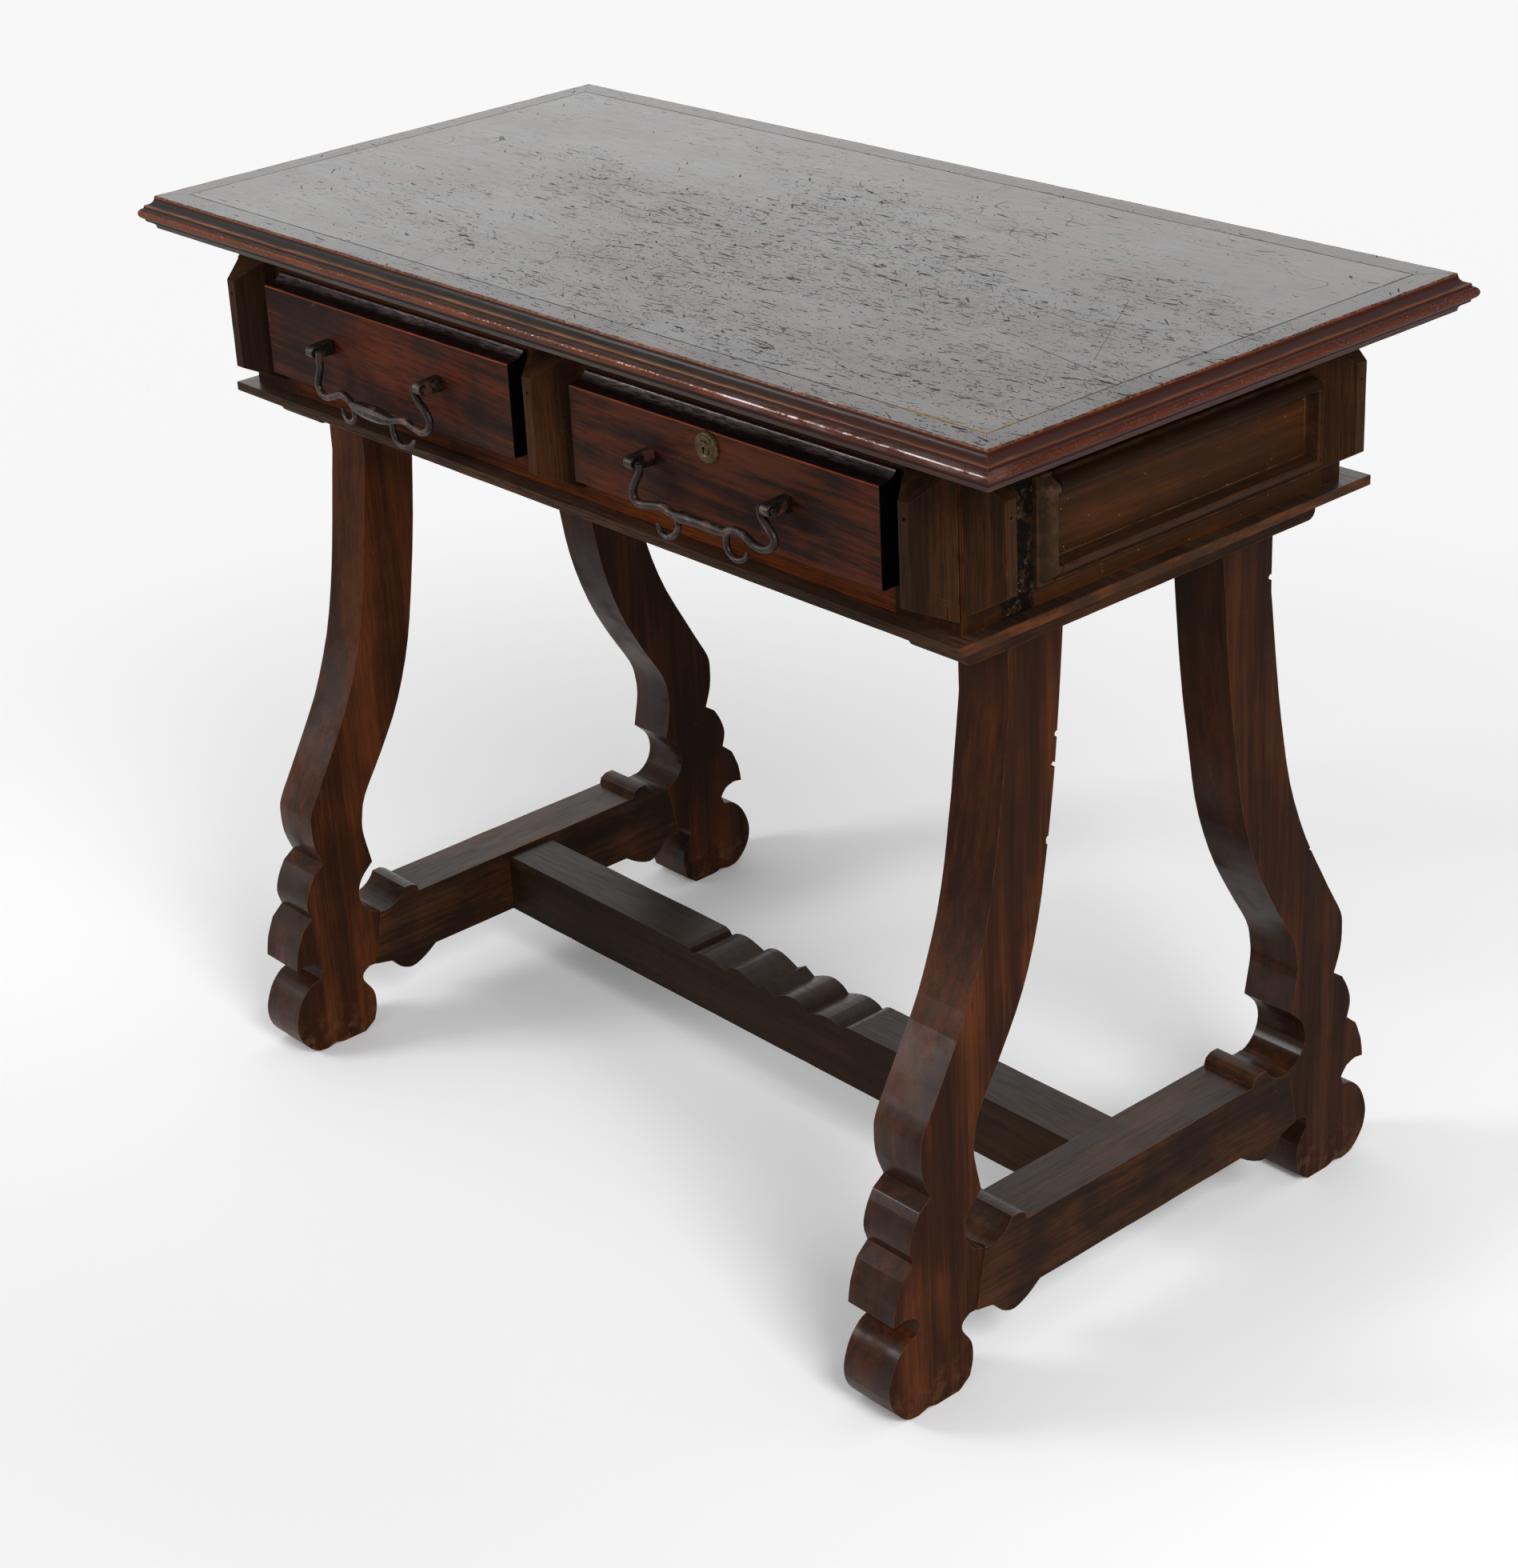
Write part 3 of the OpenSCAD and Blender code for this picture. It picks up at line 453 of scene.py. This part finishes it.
frontWood = woodMaterial("drawer front wood", "X", frontTouch, deep=rgb(24, 14, 11),
                         body=rgb(44, 27, 20), warm=rgb(92, 39, 18), warmth=0.65, figure=32.0,
                         stain=8.0, slope=frontLook["slope"], wear=0.25, specular=0.04,
                         rough=(0.40, 0.56), contrast=0.6)
innerWood = woodMaterial("inner wood", "Y", deep=rgb(78, 54, 35), body=rgb(122, 88, 58),
                         warm=rgb(140, 98, 62), rubbed=rgb(160, 124, 88),
                         rough=(0.6, 0.8), wear=0.3, scratches=0.1)
print("woods mixed")


topLook = {
    "deep": rgb(24, 15, 11),
    "body": rgb(46, 30, 22),
    "warm": rgb(66, 38, 25),
    "mark": rgb(12, 8, 6),
    "rubbed": rgb(116, 62, 30),
    "filler": rgb(128, 104, 66),
    "rough": (0.34, 0.46),
    "coat": 0.92,
    "topZ": 0.790,
    "half": (0.495, 0.242),         # arris of the top surface, from the middle
    "border": 0.022,
    "lineWidth": 0.95 * mm,
    "crowd": (0.14, -0.06),         # middle of the worst of the marks
    "crack": (0.416, -0.0795),      # a point of the joint between the boards
    "crackSlope": -0.197,
    "crackX": (0.355, 0.368),       # it shows only to the right of these
    "fillX": (0.385, 0.474),        # the filler's two ends along the front border
    "fillY": (-0.1, -0.2),
    "noseZ": (0.7728, 0.7796),      # lower and upper side of the nose
    "wetX": (0.12, 0.34),           # the nose turns wet and broken towards the right
    "wetY": (-0.225, -0.245),
    "redX": (0.15, 0.42),           # the moulded edge turns red towards the right
    "red": rgb(54, 18, 11),
}

# Single scratches on the top: two ends in metres, and the half width in mm
scratchLines = [
    ((0.354, 0.049), (0.428, -0.070), 0.35), ((-0.197, -0.005), (-0.129, -0.021), 0.45),
    ((0.075, 0.197), (0.071, 0.218), 0.5), ((-0.004, 0.138), (0.055, 0.117), 0.35),
    ((0.075, 0.133), (0.160, 0.118), 0.3), ((0.190, -0.163), (0.220, -0.161), 0.7),
    ((0.447, -0.224), (0.466, -0.228), 0.6), ((0.008, -0.085), (0.038, -0.089), 0.7),
    ((0.230, -0.020), (0.246, -0.034), 0.5), ((0.234, -0.030), (0.248, -0.020), 0.5),
]

# Down the moulded edge, from the lower lip to the arris: height, colour and share of gloss
# The colours hold painted shade in the groove under the nose, the groove behind the ledge and the
# upper hollow, and a painted grey sheen on the lower lip, the ledge and the hollow floor; arris and
# nose are worn.
edgeBands = [
    (0.7615, (74, 60, 52), 0.3), (0.7650, (58, 43, 35), 0.2), (0.7662, (20, 12, 9), 0.0),
    (0.7700, (20, 11, 8), 0.0), (0.7712, (70, 30, 12), 0.0), (0.7748, (100, 47, 19), 0.06),
    (0.7778, (90, 41, 17), 0.12), (0.7786, (44, 24, 14), 0.15), (0.7792, (66, 54, 44), 0.4),
    (0.7797, (18, 12, 8), 0.0), (0.7813, (78, 36, 15), 0.1), (0.7819, (132, 90, 58), 0.5),
    (0.7825, (44, 36, 30), 0.35), (0.7848, (38, 30, 25), 0.28), (0.7866, (20, 14, 11), 0.1),
    (0.7880, (52, 24, 13), 0.0), (0.7889, (124, 60, 24), 0.2),
]


def lineMask(x, y, start, end, width):
    dx, dy = end[0] - start[0], end[1] - start[1]
    length = math.hypot(dx, dy)
    dx, dy = dx / length, dy / length
    along = (x - start[0]) * dx + (y - start[1]) * dy
    across = abs((x - start[0]) * dy - (y - start[1]) * dx)
    inside = along.fade(0.0, 0.003) * along.fade(length, length - 0.003)
    return across.fade(width * mm, width * 0.4 * mm) * inside


def topMaterial(name, axis, moulded):
    look = topLook
    material, shader, wire = newMaterial(name)
    place = wire.add("TexCoord", out="Object")
    x, y, z = [place.part(a) for a in "XYZ"]
    drift = place.noise(3.0, 2.0).scaled((0.03, 0.03, 0.03), place=(-0.015,) * 3)
    grain = place.shifted(drift)
    figure = grain.stretched(axis, 0.05).noise(40.0, 4.0, 0.6)
    fibre = grain.stretched(axis, 0.035).noise(620.0, 2.0, 0.7)
    stain = place.noise(6.0)
    colour = wire.mixed(figure.fade(0.36, 0.62), look["deep"], look["body"])
    colour = colour.blend(look["warm"], stain.fade(0.48, 0.66) * 0.5)
    # marks crowd in long patches right of the middle
    crowdX, crowdY = look["crowd"]
    across = abs(x - crowdX) * 2.0
    down = abs(y - crowdY + (x - crowdX) * 0.10) * 4.6
    centre = (across * across + down * down).fade(1.5, 0.05)
    patches = place.drawn(4, 0.35).noise(16.0, 4.0, 0.65).fade(0.36, 0.60)
    dense = (patches * 0.45 + centre * 0.55).fade(0.05, 0.90)
    pit = grain.stretched("X", 0.5).noise(520.0, 1.0, 0.5) + dense * 0.100
    dash = grain.drawn(2, 0.13).noise(380.0, 1.0, 0.5) + dense * 0.100
    slant = grain.drawn(-14, 0.14).noise(330.0, 1.0, 0.5) + dense * 0.080
    steep = grain.drawn(40, 0.15).noise(300.0, 1.0, 0.5) + dense * 0.030
    gouge = grain.drawn(-5, 0.24).noise(160.0, 3.0, 0.65) + dense * 0.100
    marks = pit.fade(0.738, 0.762)
    marks = marks.most(dash.fade(0.756, 0.776)).most(slant.fade(0.762, 0.782) * 0.9)
    marks = marks.most(steep.fade(0.766, 0.783) * 0.9).most(gouge.fade(0.738, 0.758))
    marks = marks * place.noise(48.0, 3.0, 0.7).fade(0.30, 0.54, 0.35, 1.0)
    lines = place.drawn(7, 0.05).noise(60.0, 2.0, 0.5)
    thin = abs(lines - 0.5).fade(0.0030, 0.0) * place.noise(14.0, 1.0).fade(0.60, 0.66)
    hairs = place.noise(7.0, 2.0, 0.5)
    hair = abs(hairs - 0.5).fade(0.0014, 0.0) * place.noise(9.0, 1.0).fade(0.57, 0.62)
    marks = marks.most(thin * 0.7).most(hair * 0.7)
    for start, end, width in scratchLines:
        marks = marks.most(lineMask(x, y, start, end, width) * 0.85)
    flat = (z - look["topZ"] + 1.4 * mm).fade(0.0, 0.8 * mm)
    marks = marks * flat
    # rubbed, dirty patches among the marks
    dirt = (dense * 0.6 + place.drawn(3, 0.25).noise(70.0, 4.0, 0.7)).fade(0.86, 1.12) * flat
    # the joint inside the border, with filler near the front right corner, and the boards' joint
    sway = (place.noise(9.0, 2.0) - 0.5) * 1.6 * mm
    offX = look["half"][0] - abs(x) + sway
    offY = look["half"][1] - abs(y) + sway
    inset = offX.least(offY)
    line = abs(inset - look["border"]).fade(look["lineWidth"], 0.25 * mm)
    joint = line * place.noise(40.0, 3.0, 0.6).fade(0.26, 0.50, 0.35, 1.0) * flat
    crackX, crackY = look["crack"]
    crack = abs(y - crackY - (x - crackX) * look["crackSlope"]).fade(0.8 * mm, 0.3 * mm)
    crack = crack * x.fade(*look["crackX"])
    joint = joint.most(crack * inset.fade(look["border"] - 0.001, look["border"]) * flat * 0.9)
    wide = abs(inset - look["border"] - 0.6 * mm).fade(2.8 * mm, 1.6 * mm) * y.fade(*look["fillY"])
    left, right = look["fillX"]
    fill = wide * x.fade(left, left + 0.020) * x.fade(right, right - 0.002) * flat
    fill = fill * place.noise(160.0, 3.0, 0.7).fade(0.40, 0.50)
    colour = colour.blend(look["mark"], marks.most(joint) * 0.9)
    colour = colour.blend(look["filler"], fill * 0.8)
    low, high = look["rough"]
    gloss = low + (high - low) * (stain * 0.5 + fibre * 0.5).fade(0.35, 0.65) + marks * 0.3
    dull = (marks * 0.88).most(joint).most(fill * 0.9).most(dirt * 0.10)
    coat = (1 - dull) * (look["coat"] - figure.fade(0.40, 0.66) * 0.08 - fibre.fade(0.45, 0.65) * 0.05)
    relief = fibre * 0.2 + figure * 0.4 - marks * 3.0 - joint * 3.0 + place.noise(24.0, 2.0) * 1.2
    ragged = place.stretched(axis, 0.45).noise(150.0, 4.0, 0.7) - 0.5
    if moulded:
        edgeZ = edgeBands[0][0]
        edgeH = look["topZ"] - edgeZ
        swayZ = (place.noise(30.0, 2.0) - 0.5) * 0.9 * mm
        height = (z + swayZ - edgeZ) / edgeH
        # painted shade and painted sheen down the moulded edge, from edgeBands
        stops = [((h - edgeZ) / edgeH, rgb(*c)[:3]) for h, c, g in edgeBands]
        bands = wire.add("ValToRGB", {"stops": stops}, {0: height})
        stops = [((h - edgeZ) / edgeH, (g, g, g)) for h, c, g in edgeBands]
        shine = wire.add("ValToRGB", {"stops": stops}, {0: height})
        patchy = grain.stretched(axis, 0.3).noise(55.0, 4.0, 0.65).fade(0.34, 0.60)
        streak = grain.stretched(axis, 0.04).noise(300.0, 3.0, 0.6)
        bands = bands.blend(look["deep"], (1 - patchy) * 0.32)
        bands = bands.blend(look["deep"], streak.fade(0.54, 0.38) * 0.4)
        bands = bands.blend(look["red"], x.fade(*look["redX"]) * 0.60)
        colour = bands.blend(colour, flat)
        wet = x.fade(*look["wetX"]) * y.fade(*look["wetY"])
        pearl = place.stretched(axis, 0.5).noise(760.0, 2.0, 0.7)
        low, high = look["noseZ"]
        nose = (z - low).fade(0.0, 0.002) * (z - high).fade(0.0, -0.001)
        broken = grain.stretched(axis, 0.3).noise(85.0, 3.0, 0.6).fade(0.47, 0.60)
        shine = shine.part("X") * 0.5 + nose * wet * broken
        sparkle = nose * pearl.fade(0.56, 0.64) * 0.7
        coat = coat * flat + (shine + sparkle).least(1.0) * (1 - flat)
        relief = relief + pearl * nose * (1.6 - wet * 0.6) + ragged * (1 - flat) * 1.2
    edge = arrisMask(wire, 1.0 * mm)
    worn = edge.fade(0.02, 0.22) * place.noise(70.0, 4.0, 0.7).fade(0.36, 0.56) * 0.7
    worn = worn * inset.fade(0.020, 0.016)
    colour = colour.blend(look["rubbed"], worn)
    # the arris is frayed, with dark chips that reach into the flat
    fray = (inset + ragged * 7.0 * mm).fade(1.3 * mm, 0.5 * mm) * flat
    chips = place.noise(260.0, 2.0, 0.6).fade(0.44, 0.56)
    colour = colour.blend(look["rubbed"], fray * 0.8).blend(look["deep"], fray * chips * 0.8)
    coat = coat * (1 - fray * 0.85)
    relief = relief - fray * (0.4 + chips)
    plug(shader, {"Base Color": colour, "Roughness": gloss, "Coat Weight": coat,
                  "Specular IOR Level": 0.05 if moulded else 0.16, "Coat Roughness": 0.17,
                  "Coat IOR": 1.55, "Normal": relief.bumped(0.5, 0.5 * mm)})
    return material


topWood = topMaterial("top wood", "X", False)
edgeWood = {a: topMaterial("edge wood " + a.lower(), a, True) for a in "XY"}
print("top mixed")


ironLook = {
    "dark": rgb(29, 23, 20),
    "body": rgb(47, 37, 32),
    "bright": rgb(104, 98, 95),
    "rust": rgb(88, 49, 28),
}
brassLook = {"dark": rgb(46, 36, 24), "body": rgb(84, 66, 40), "bright": rgb(150, 128, 88)}


def ironMaterial(name):
    material, shader, wire = newMaterial(name)
    place = wire.add("TexCoord", out="Object")
    mottle = place.noise(110.0)
    scale = place.noise(700.0, 3.0, 0.6)
    rust = place.noise(70.0, 3.0, 0.6).fade(0.52, 0.64) * 0.8
    edge = arrisMask(wire, 1.0 * mm).fade(0.02, 0.2)
    rub = (mottle.fade(0.56, 0.70) * 0.35 + edge * 0.35).least(0.6)
    colour = wire.mixed(mottle.fade(0.35, 0.65), ironLook["dark"], ironLook["body"])
    colour = colour.blend(ironLook["bright"], rub)
    colour = colour.blend(ironLook["rust"], rust * (1 - rub) * 0.6)
    plug(shader, {"Base Color": colour, "Metallic": 0.70 - rust * 0.5,
                  "Roughness": 0.38 + scale.fade(0.35, 0.65) * 0.12 + rust * 0.2,
                  "Normal": (mottle * 1.2 + scale * 0.25).bumped(0.35, 0.25 * mm)})
    return material


def brassMaterial(name):
    material, shader, wire = newMaterial(name)
    place = wire.add("TexCoord", out="Object")
    mottle = place.noise(330.0, 4.0, 0.6)
    edge = arrisMask(wire, 0.8 * mm).fade(0.02, 0.2)
    colour = wire.mixed(mottle.fade(0.35, 0.65), brassLook["dark"], brassLook["body"])
    colour = colour.blend(brassLook["bright"], edge * 0.6)
    plug(shader, {"Base Color": colour, "Metallic": 0.85,
                  "Roughness": 0.36 + mottle.fade(0.3, 0.7) * 0.2,
                  "Normal": mottle.bumped(0.3, 0.2 * mm)})
    return material


iron = ironMaterial("wrought iron")
brass = brassMaterial("old brass")
print("metals mixed")


def deselect():
    bpy.ops.object.select_all(action="DESELECT")


def makeActive(piece):
    deselect()
    piece.hide_set(False)
    piece.select_set(True)
    bpy.context.view_layer.objects.active = piece


shaping = {
    "merge": 0.01 * mm,
    "flat": 0.4,            # degrees: faces that differ less are made one
    "arris": 28,            # degrees: sharper arrises are rounded
    "smooth": 48,           # degrees: sharper arrises stay sharp in the shading
    "cloudDepth": 2,
}


# A free copy of a CAD node, its loose triangles merged and flat faces made whole
def copyNode(node, name):
    source = frame["nodes"][node]
    makeActive(source)
    bpy.ops.object.duplicate()
    piece = bpy.context.object
    piece.name = name
    piece.data.name = name
    piece.parent = None
    for key in list(piece.keys()):
        del piece[key]
    bpy.ops.object.mode_set(mode="EDIT")
    bpy.ops.mesh.select_all(action="SELECT")
    bpy.ops.mesh.remove_doubles(threshold=shaping["merge"])
    bpy.ops.mesh.dissolve_limited(angle_limit=math.radians(shaping["flat"]), delimit=set())
    bpy.ops.object.mode_set(mode="OBJECT")
    return piece


# Cuts across a piece at an even spacing along each axis, so that it can be bent a little
def crossCut(piece, steps):
    low = [min(v.co[i] for v in piece.data.vertices) for i in range(3)]
    high = [max(v.co[i] for v in piece.data.vertices) for i in range(3)]
    makeActive(piece)
    bpy.ops.object.mode_set(mode="EDIT")
    for i, step in enumerate(steps):
        if not step:
            continue
        normal = [0, 0, 0]
        normal[i] = 1
        count = max(1, round((high[i] - low[i]) / step))
        for k in range(1, count):
            point = [0, 0, 0]
            point[i] = low[i] + (high[i] - low[i]) * k / count
            bpy.ops.mesh.select_all(action="SELECT")
            bpy.ops.mesh.bisect(plane_co=point, plane_no=normal)
    bpy.ops.object.mode_set(mode="OBJECT")


def clouds(size):
    name = "waves %g" % size
    texture = bpy.data.textures.get(name) or bpy.data.textures.new(name, "CLOUDS")
    texture.noise_scale = size
    texture.noise_depth = shaping["cloudDepth"]
    return texture


# Slight waves of hand-planed wood
def wave(piece, strength, size, direction="NORMAL"):
    modifier = piece.modifiers.new("wave", "DISPLACE")
    modifier.texture = clouds(size)
    modifier.texture_coords = "LOCAL"
    modifier.direction = direction
    modifier.strength = strength
    modifier.mid_level = 0.5
    makeActive(piece)
    bpy.ops.object.modifier_apply(modifier=modifier.name)


def roundArris(piece, width):
    modifier = piece.modifiers.new("arris", "BEVEL")
    modifier.width = width
    modifier.segments = 2
    modifier.limit_method = "ANGLE"
    modifier.angle_limit = math.radians(shaping["arris"])
    modifier.use_clamp_overlap = True
    makeActive(piece)
    bpy.ops.object.modifier_apply(modifier=modifier.name)


def finishPiece(piece, material, body, slot, *nodes):
    makeActive(piece)
    bpy.ops.object.shade_smooth_by_angle(angle=math.radians(shaping["smooth"]))
    modifier = piece.modifiers.new("flat faces", "WEIGHTED_NORMAL")
    modifier.keep_sharp = True
    bpy.ops.object.modifier_apply(modifier=modifier.name)
    piece.data.materials.clear()
    piece.data.materials.append(material)
    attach(piece, body)
    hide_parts(*nodes)


bodyOf = {n: b for b, ns in frame["record"]["behaviour"]["bodies"].items() for n in ns}
slotOf = {s["node"]: s["material_slot"] for s in frame["record"]["subparts"]}


# One row for each wooden piece: material, cuts (mm), rounding (mm), waves (mm) and their size
timber = {
    "side_board_left": (sideBoardWood, (0, 20, 20), 0.5, 0.3, 60),
    "side_board_right": (sideBoardWood, (0, 20, 20), 0.5, 0.3, 60),
    "back_board": (caseWood["X"], (20, 0, 20), 0.6, 0.3, 60),
    "top_rail": (caseWood["X"], (15, 0, 0), 0.6, 0.3, 60),
    "bottom_rail": (bottomRailWood, (15, 0, 0), 0.6, 0.3, 60),
    "stile_left": (caseWood["Z"], (0, 0, 15), 0.6, 0.3, 60),
    "stile_right": (caseWood["Z"], (0, 0, 15), 0.6, 0.3, 60),
    "stile_centre": (caseWood["Z"], (0, 0, 15), 0.6, 0.3, 60),
    "base_board_front": (ledgeWood, (10, 0, 0), 0.8, 0.5, 45),
    "base_board_back": (ledgeWood, (10, 0, 0), 0.8, 0.5, 45),
    "side_moulding_left": (mouldingWood, (0, 8, 8), 0.3, 0.3, 30),
    "side_moulding_right": (mouldingWood, (0, 8, 8), 0.3, 0.3, 30),
    "back_moulding": (caseWood["X"], (8, 0, 8), 0.3, 0.3, 30),
    "leg_front_left": (legWood["front"], (12, 12, 9), 1.0, 0.9, 55),
    "leg_front_right": (legWood["front"], (12, 12, 9), 1.0, 0.9, 55),
    "leg_back_left": (legWood["back"], (12, 12, 9), 1.0, 0.9, 55),
    "leg_back_right": (legWood["back"], (12, 12, 9), 1.0, 0.9, 55),
    "end_rail_left": (railWood, (12, 9, 12), 1.0, 0.8, 55),
    "end_rail_right": (railWood, (12, 9, 12), 1.0, 0.8, 55),
    "bearer_left": (railWood, (12, 10, 0), 1.2, 0.6, 55),
    "bearer_right": (railWood, (12, 10, 0), 1.2, 0.6, 55),
    "stretcher": (stretcherWood, (9, 12, 12), 1.0, 0.8, 55),
    "drawer_left_front": (frontWood, (9, 0, 12), 0.6, 0.4, 60),
    "drawer_right_front": (frontWood, (9, 0, 12), 0.6, 0.4, 60),
}
for place in ("front_left", "front_centre", "front_right", "back_left", "back_centre",
              "back_right", "side_front_left", "side_front_right", "side_back_left",
              "side_back_right"):
    timber["bracket_" + place] = (bracketWood, (0, 0, 7), 0.7, 0.5, 35)

# Knocks in the arrises of the legs: place in metres, then depth and height in mm
knocks = {
    "leg_front_right": [((0.4135, -0.0937, 0.5141), 1.6, 5.0), ((0.4135, -0.0973, 0.4906), 2.2, 6.0),
                        ((0.4135, -0.1039, 0.4325), 1.8, 7.0)],
    "leg_back_right": [((0.4135, 0.1408, 0.5621), 2.0, 6.0), ((0.4135, 0.1966, 0.3110), 1.4, 5.0)],
}
knockWidth = 9      # mm


def knockIn(piece, place, depth, height):
    deselect()
    bpy.ops.mesh.primitive_cube_add(size=1, location=place)
    cutter = bpy.context.object
    bpy.ops.object.mode_set(mode="EDIT")
    size = (knockWidth * mm, depth * 2 * mm, height * mm)
    bpy.ops.transform.resize(value=size, center_override=place)
    bpy.ops.mesh.bevel(offset=depth * 0.9 * mm, segments=1)
    bpy.ops.object.mode_set(mode="OBJECT")
    cut = piece.modifiers.new("knock", "BOOLEAN")
    cut.operation = "DIFFERENCE"
    cut.solver = "EXACT"
    cut.object = cutter
    makeActive(piece)
    bpy.ops.object.modifier_apply(modifier=cut.name)
    bpy.data.objects.remove(cutter)


for node, (material, steps, rounding, waves, size) in timber.items():
    piece = copyNode(node, node + "_worn")
    for place, depth, height in knocks.get(node, []):
        knockIn(piece, place, depth, height)
    crossCut(piece, [s * mm for s in steps])
    wave(piece, waves * mm, size * mm)
    roundArris(piece, rounding * mm)
    finishPiece(piece, material, bodyOf[node], slotOf[node], node)
print("timber shaped:", len(timber), "pieces")

# The top: material and cuts (mm). Boards and edge strips rise and fall together, to stay flush.
topPieces = {
    "edge_front": (edgeWood["X"], (8, 0, 0)), "edge_back": (edgeWood["X"], (8, 0, 0)),
    "edge_left": (edgeWood["Y"], (0, 8, 0)), "edge_right": (edgeWood["Y"], (0, 8, 0)),
    "top_board_front": (topWood, (20, 20, 0)), "top_board_back": (topWood, (20, 20, 0)),
}
edgeWave = {"strength": 0.35 * mm, "size": 16 * mm, "arris": 0.35 * mm}
topWave = {"strength": 0.5 * mm, "size": 90 * mm}
for node, (material, steps) in topPieces.items():
    piece = copyNode(node, node + "_worn")
    crossCut(piece, [s * mm for s in steps])
    if node.startswith("edge"):
        wave(piece, edgeWave["strength"], edgeWave["size"])
        roundArris(piece, edgeWave["arris"])
    wave(piece, topWave["strength"], topWave["size"], "Z")
    finishPiece(piece, material, bodyOf[node], slotOf[node], node)
print("top shaped")


# Pieces that keep their CAD shape
plainNodes = {
    "partition": innerWood, "drawer_runners": innerWood, "drawer_guides": innerWood,
    "drawer_kickers": innerWood, "bracket_nails": iron, "lock_case": iron, "lock_bolt": brass,
    "lock_rosette": brass,
}
for side in ("left", "right"):
    for board in ("sides", "back", "bottom"):
        plainNodes["drawer_%s_%s" % (side, board)] = innerWood
for node, material in plainNodes.items():
    data = frame["nodes"][node].data
    data.materials.clear()
    data.materials.append(material)
print("plain nodes dressed")


# Forged pieces: grown from the CAD solids with hammer marks
forged = {"grain": 0.5 * mm, "smoothings": 3, "blow": 0.22 * mm, "blowSize": 16 * mm}


def forgePiece(node, name):
    piece = copyNode(node, name)
    remesh = piece.modifiers.new("grain", "REMESH")
    remesh.mode = "VOXEL"
    remesh.voxel_size = forged["grain"]
    smooth = piece.modifiers.new("smooth", "SMOOTH")
    smooth.iterations = forged["smoothings"]
    makeActive(piece)
    bpy.ops.object.modifier_apply(modifier=remesh.name)
    bpy.ops.object.modifier_apply(modifier=smooth.name)
    wave(piece, forged["blow"], forged["blowSize"])
    return piece


for node in ("bail_left", "bail_right", "handle_posts_left", "handle_posts_right"):
    piece = forgePiece(node, node + "_forged")
    finishPiece(piece, iron, bodyOf[node], slotOf[node], node)
print("iron forged")


# Floor, backdrop and lamps
studio = {
    "floor": (0.88, 0.88, 0.885, 1),
    # painted shade: nearFloor, nearWay, nearFade and nearFall darken the floor towards the front
    "nearFloor": (0.74, 0.74, 0.745, 1),
    "nearWay": (0.20, -0.98, 0),    # the floor darkens this way, between these distances
    "nearFade": (0.10, 0.75),
    "farFade": (0.6, 1.7),
    "white": 0.92,                  # the far floor and the backdrop, as the camera sees them
    "nearFall": 0.07,
    "key": {"place": (2.9, -1.0, 2.5), "size": 1.4, "power": 90},
    "fill": {"place": (-1.9, -2.25, 1.6), "size": 0.9, "power": 42},
    "aim": (0, 0, 0.5),
    "backdrop": (-0.77, 0.64, 0.0),  # where the white backdrop stands, as seen from the desk
    "backdropLight": 1.22,
    "roomLight": 0.34,
    "ceilingLight": 0.60,
}


def seenWire(wire):
    camera = wire.add("LightPath", out="Is Camera Ray")
    glossy = wire.add("LightPath", out="Is Glossy Ray")
    return camera.most(glossy)


def addFloor():
    deselect()
    bpy.ops.mesh.primitive_plane_add(size=24, location=(0, 0, 0))
    floor = bpy.context.object
    floor.name = "floor"
    material, shader, wire = newMaterial("floor paper")
    place = wire.add("TexCoord", out="Object")
    away = wire.add("VectorMath", {"operation": "LENGTH"}, {0: place}, out="Value")
    near = place.dot(studio["nearWay"]).fade(*studio["nearFade"])
    far = away.fade(*studio["farFade"]) * seenWire(wire)
    # painted shade: the paper darkens towards the front, and its far glow falls off there
    paper = wire.mixed(near, studio["floor"], studio["nearFloor"])
    glow = far * (studio["white"] - near * studio["nearFall"])
    black, white = (0, 0, 0, 1), (1, 1, 1, 1)
    plug(shader, {"Base Color": paper.blend(black, far), "Roughness": 0.9,
                  "Specular IOR Level": 0.1, "Emission Color": wire.mixed(glow, black, white),
                  "Emission Strength": 1.0})
    floor.data.materials.append(material)


def addLamp(name):
    look = studio[name]
    bpy.ops.object.light_add(type="AREA", location=look["place"])
    lamp = bpy.context.object
    lamp.name = name
    lamp.data.size = look["size"]
    lamp.data.energy = look["power"]
    aim = Vector(studio["aim"]) - Vector(look["place"])
    lamp.rotation_euler = aim.to_track_quat("-Z", "Y").to_euler()


def addWorld():
    world = bpy.data.worlds.new("studio")
    bpy.context.scene.world = world
    world.use_nodes = True
    tree = world.node_tree
    tree.nodes.clear()
    wire = Wire(tree)
    way = wire.add("TexCoord", out="Generated")
    toBackdrop = way.dot(studio["backdrop"])
    behind = toBackdrop.fade(-0.25, 0.35, studio["roomLight"], studio["backdropLight"])
    high = way.part("Z").fade(0.30, 0.60)
    strength = behind.lean(studio["ceilingLight"], high)
    camera = wire.add("LightPath", out="Is Camera Ray")
    strength = strength * (1 - camera) + camera * studio["white"]
    background = wire.add("Background", None, {"Color": (1, 1, 1, 1), "Strength": strength})
    output = tree.nodes.new("ShaderNodeOutputWorld")
    tree.links.new(background.socket, output.inputs[0])


addFloor()
addLamp("key")
addLamp("fill")
addWorld()
bpy.context.scene.view_settings.view_transform = "Standard"
print("studio lit")
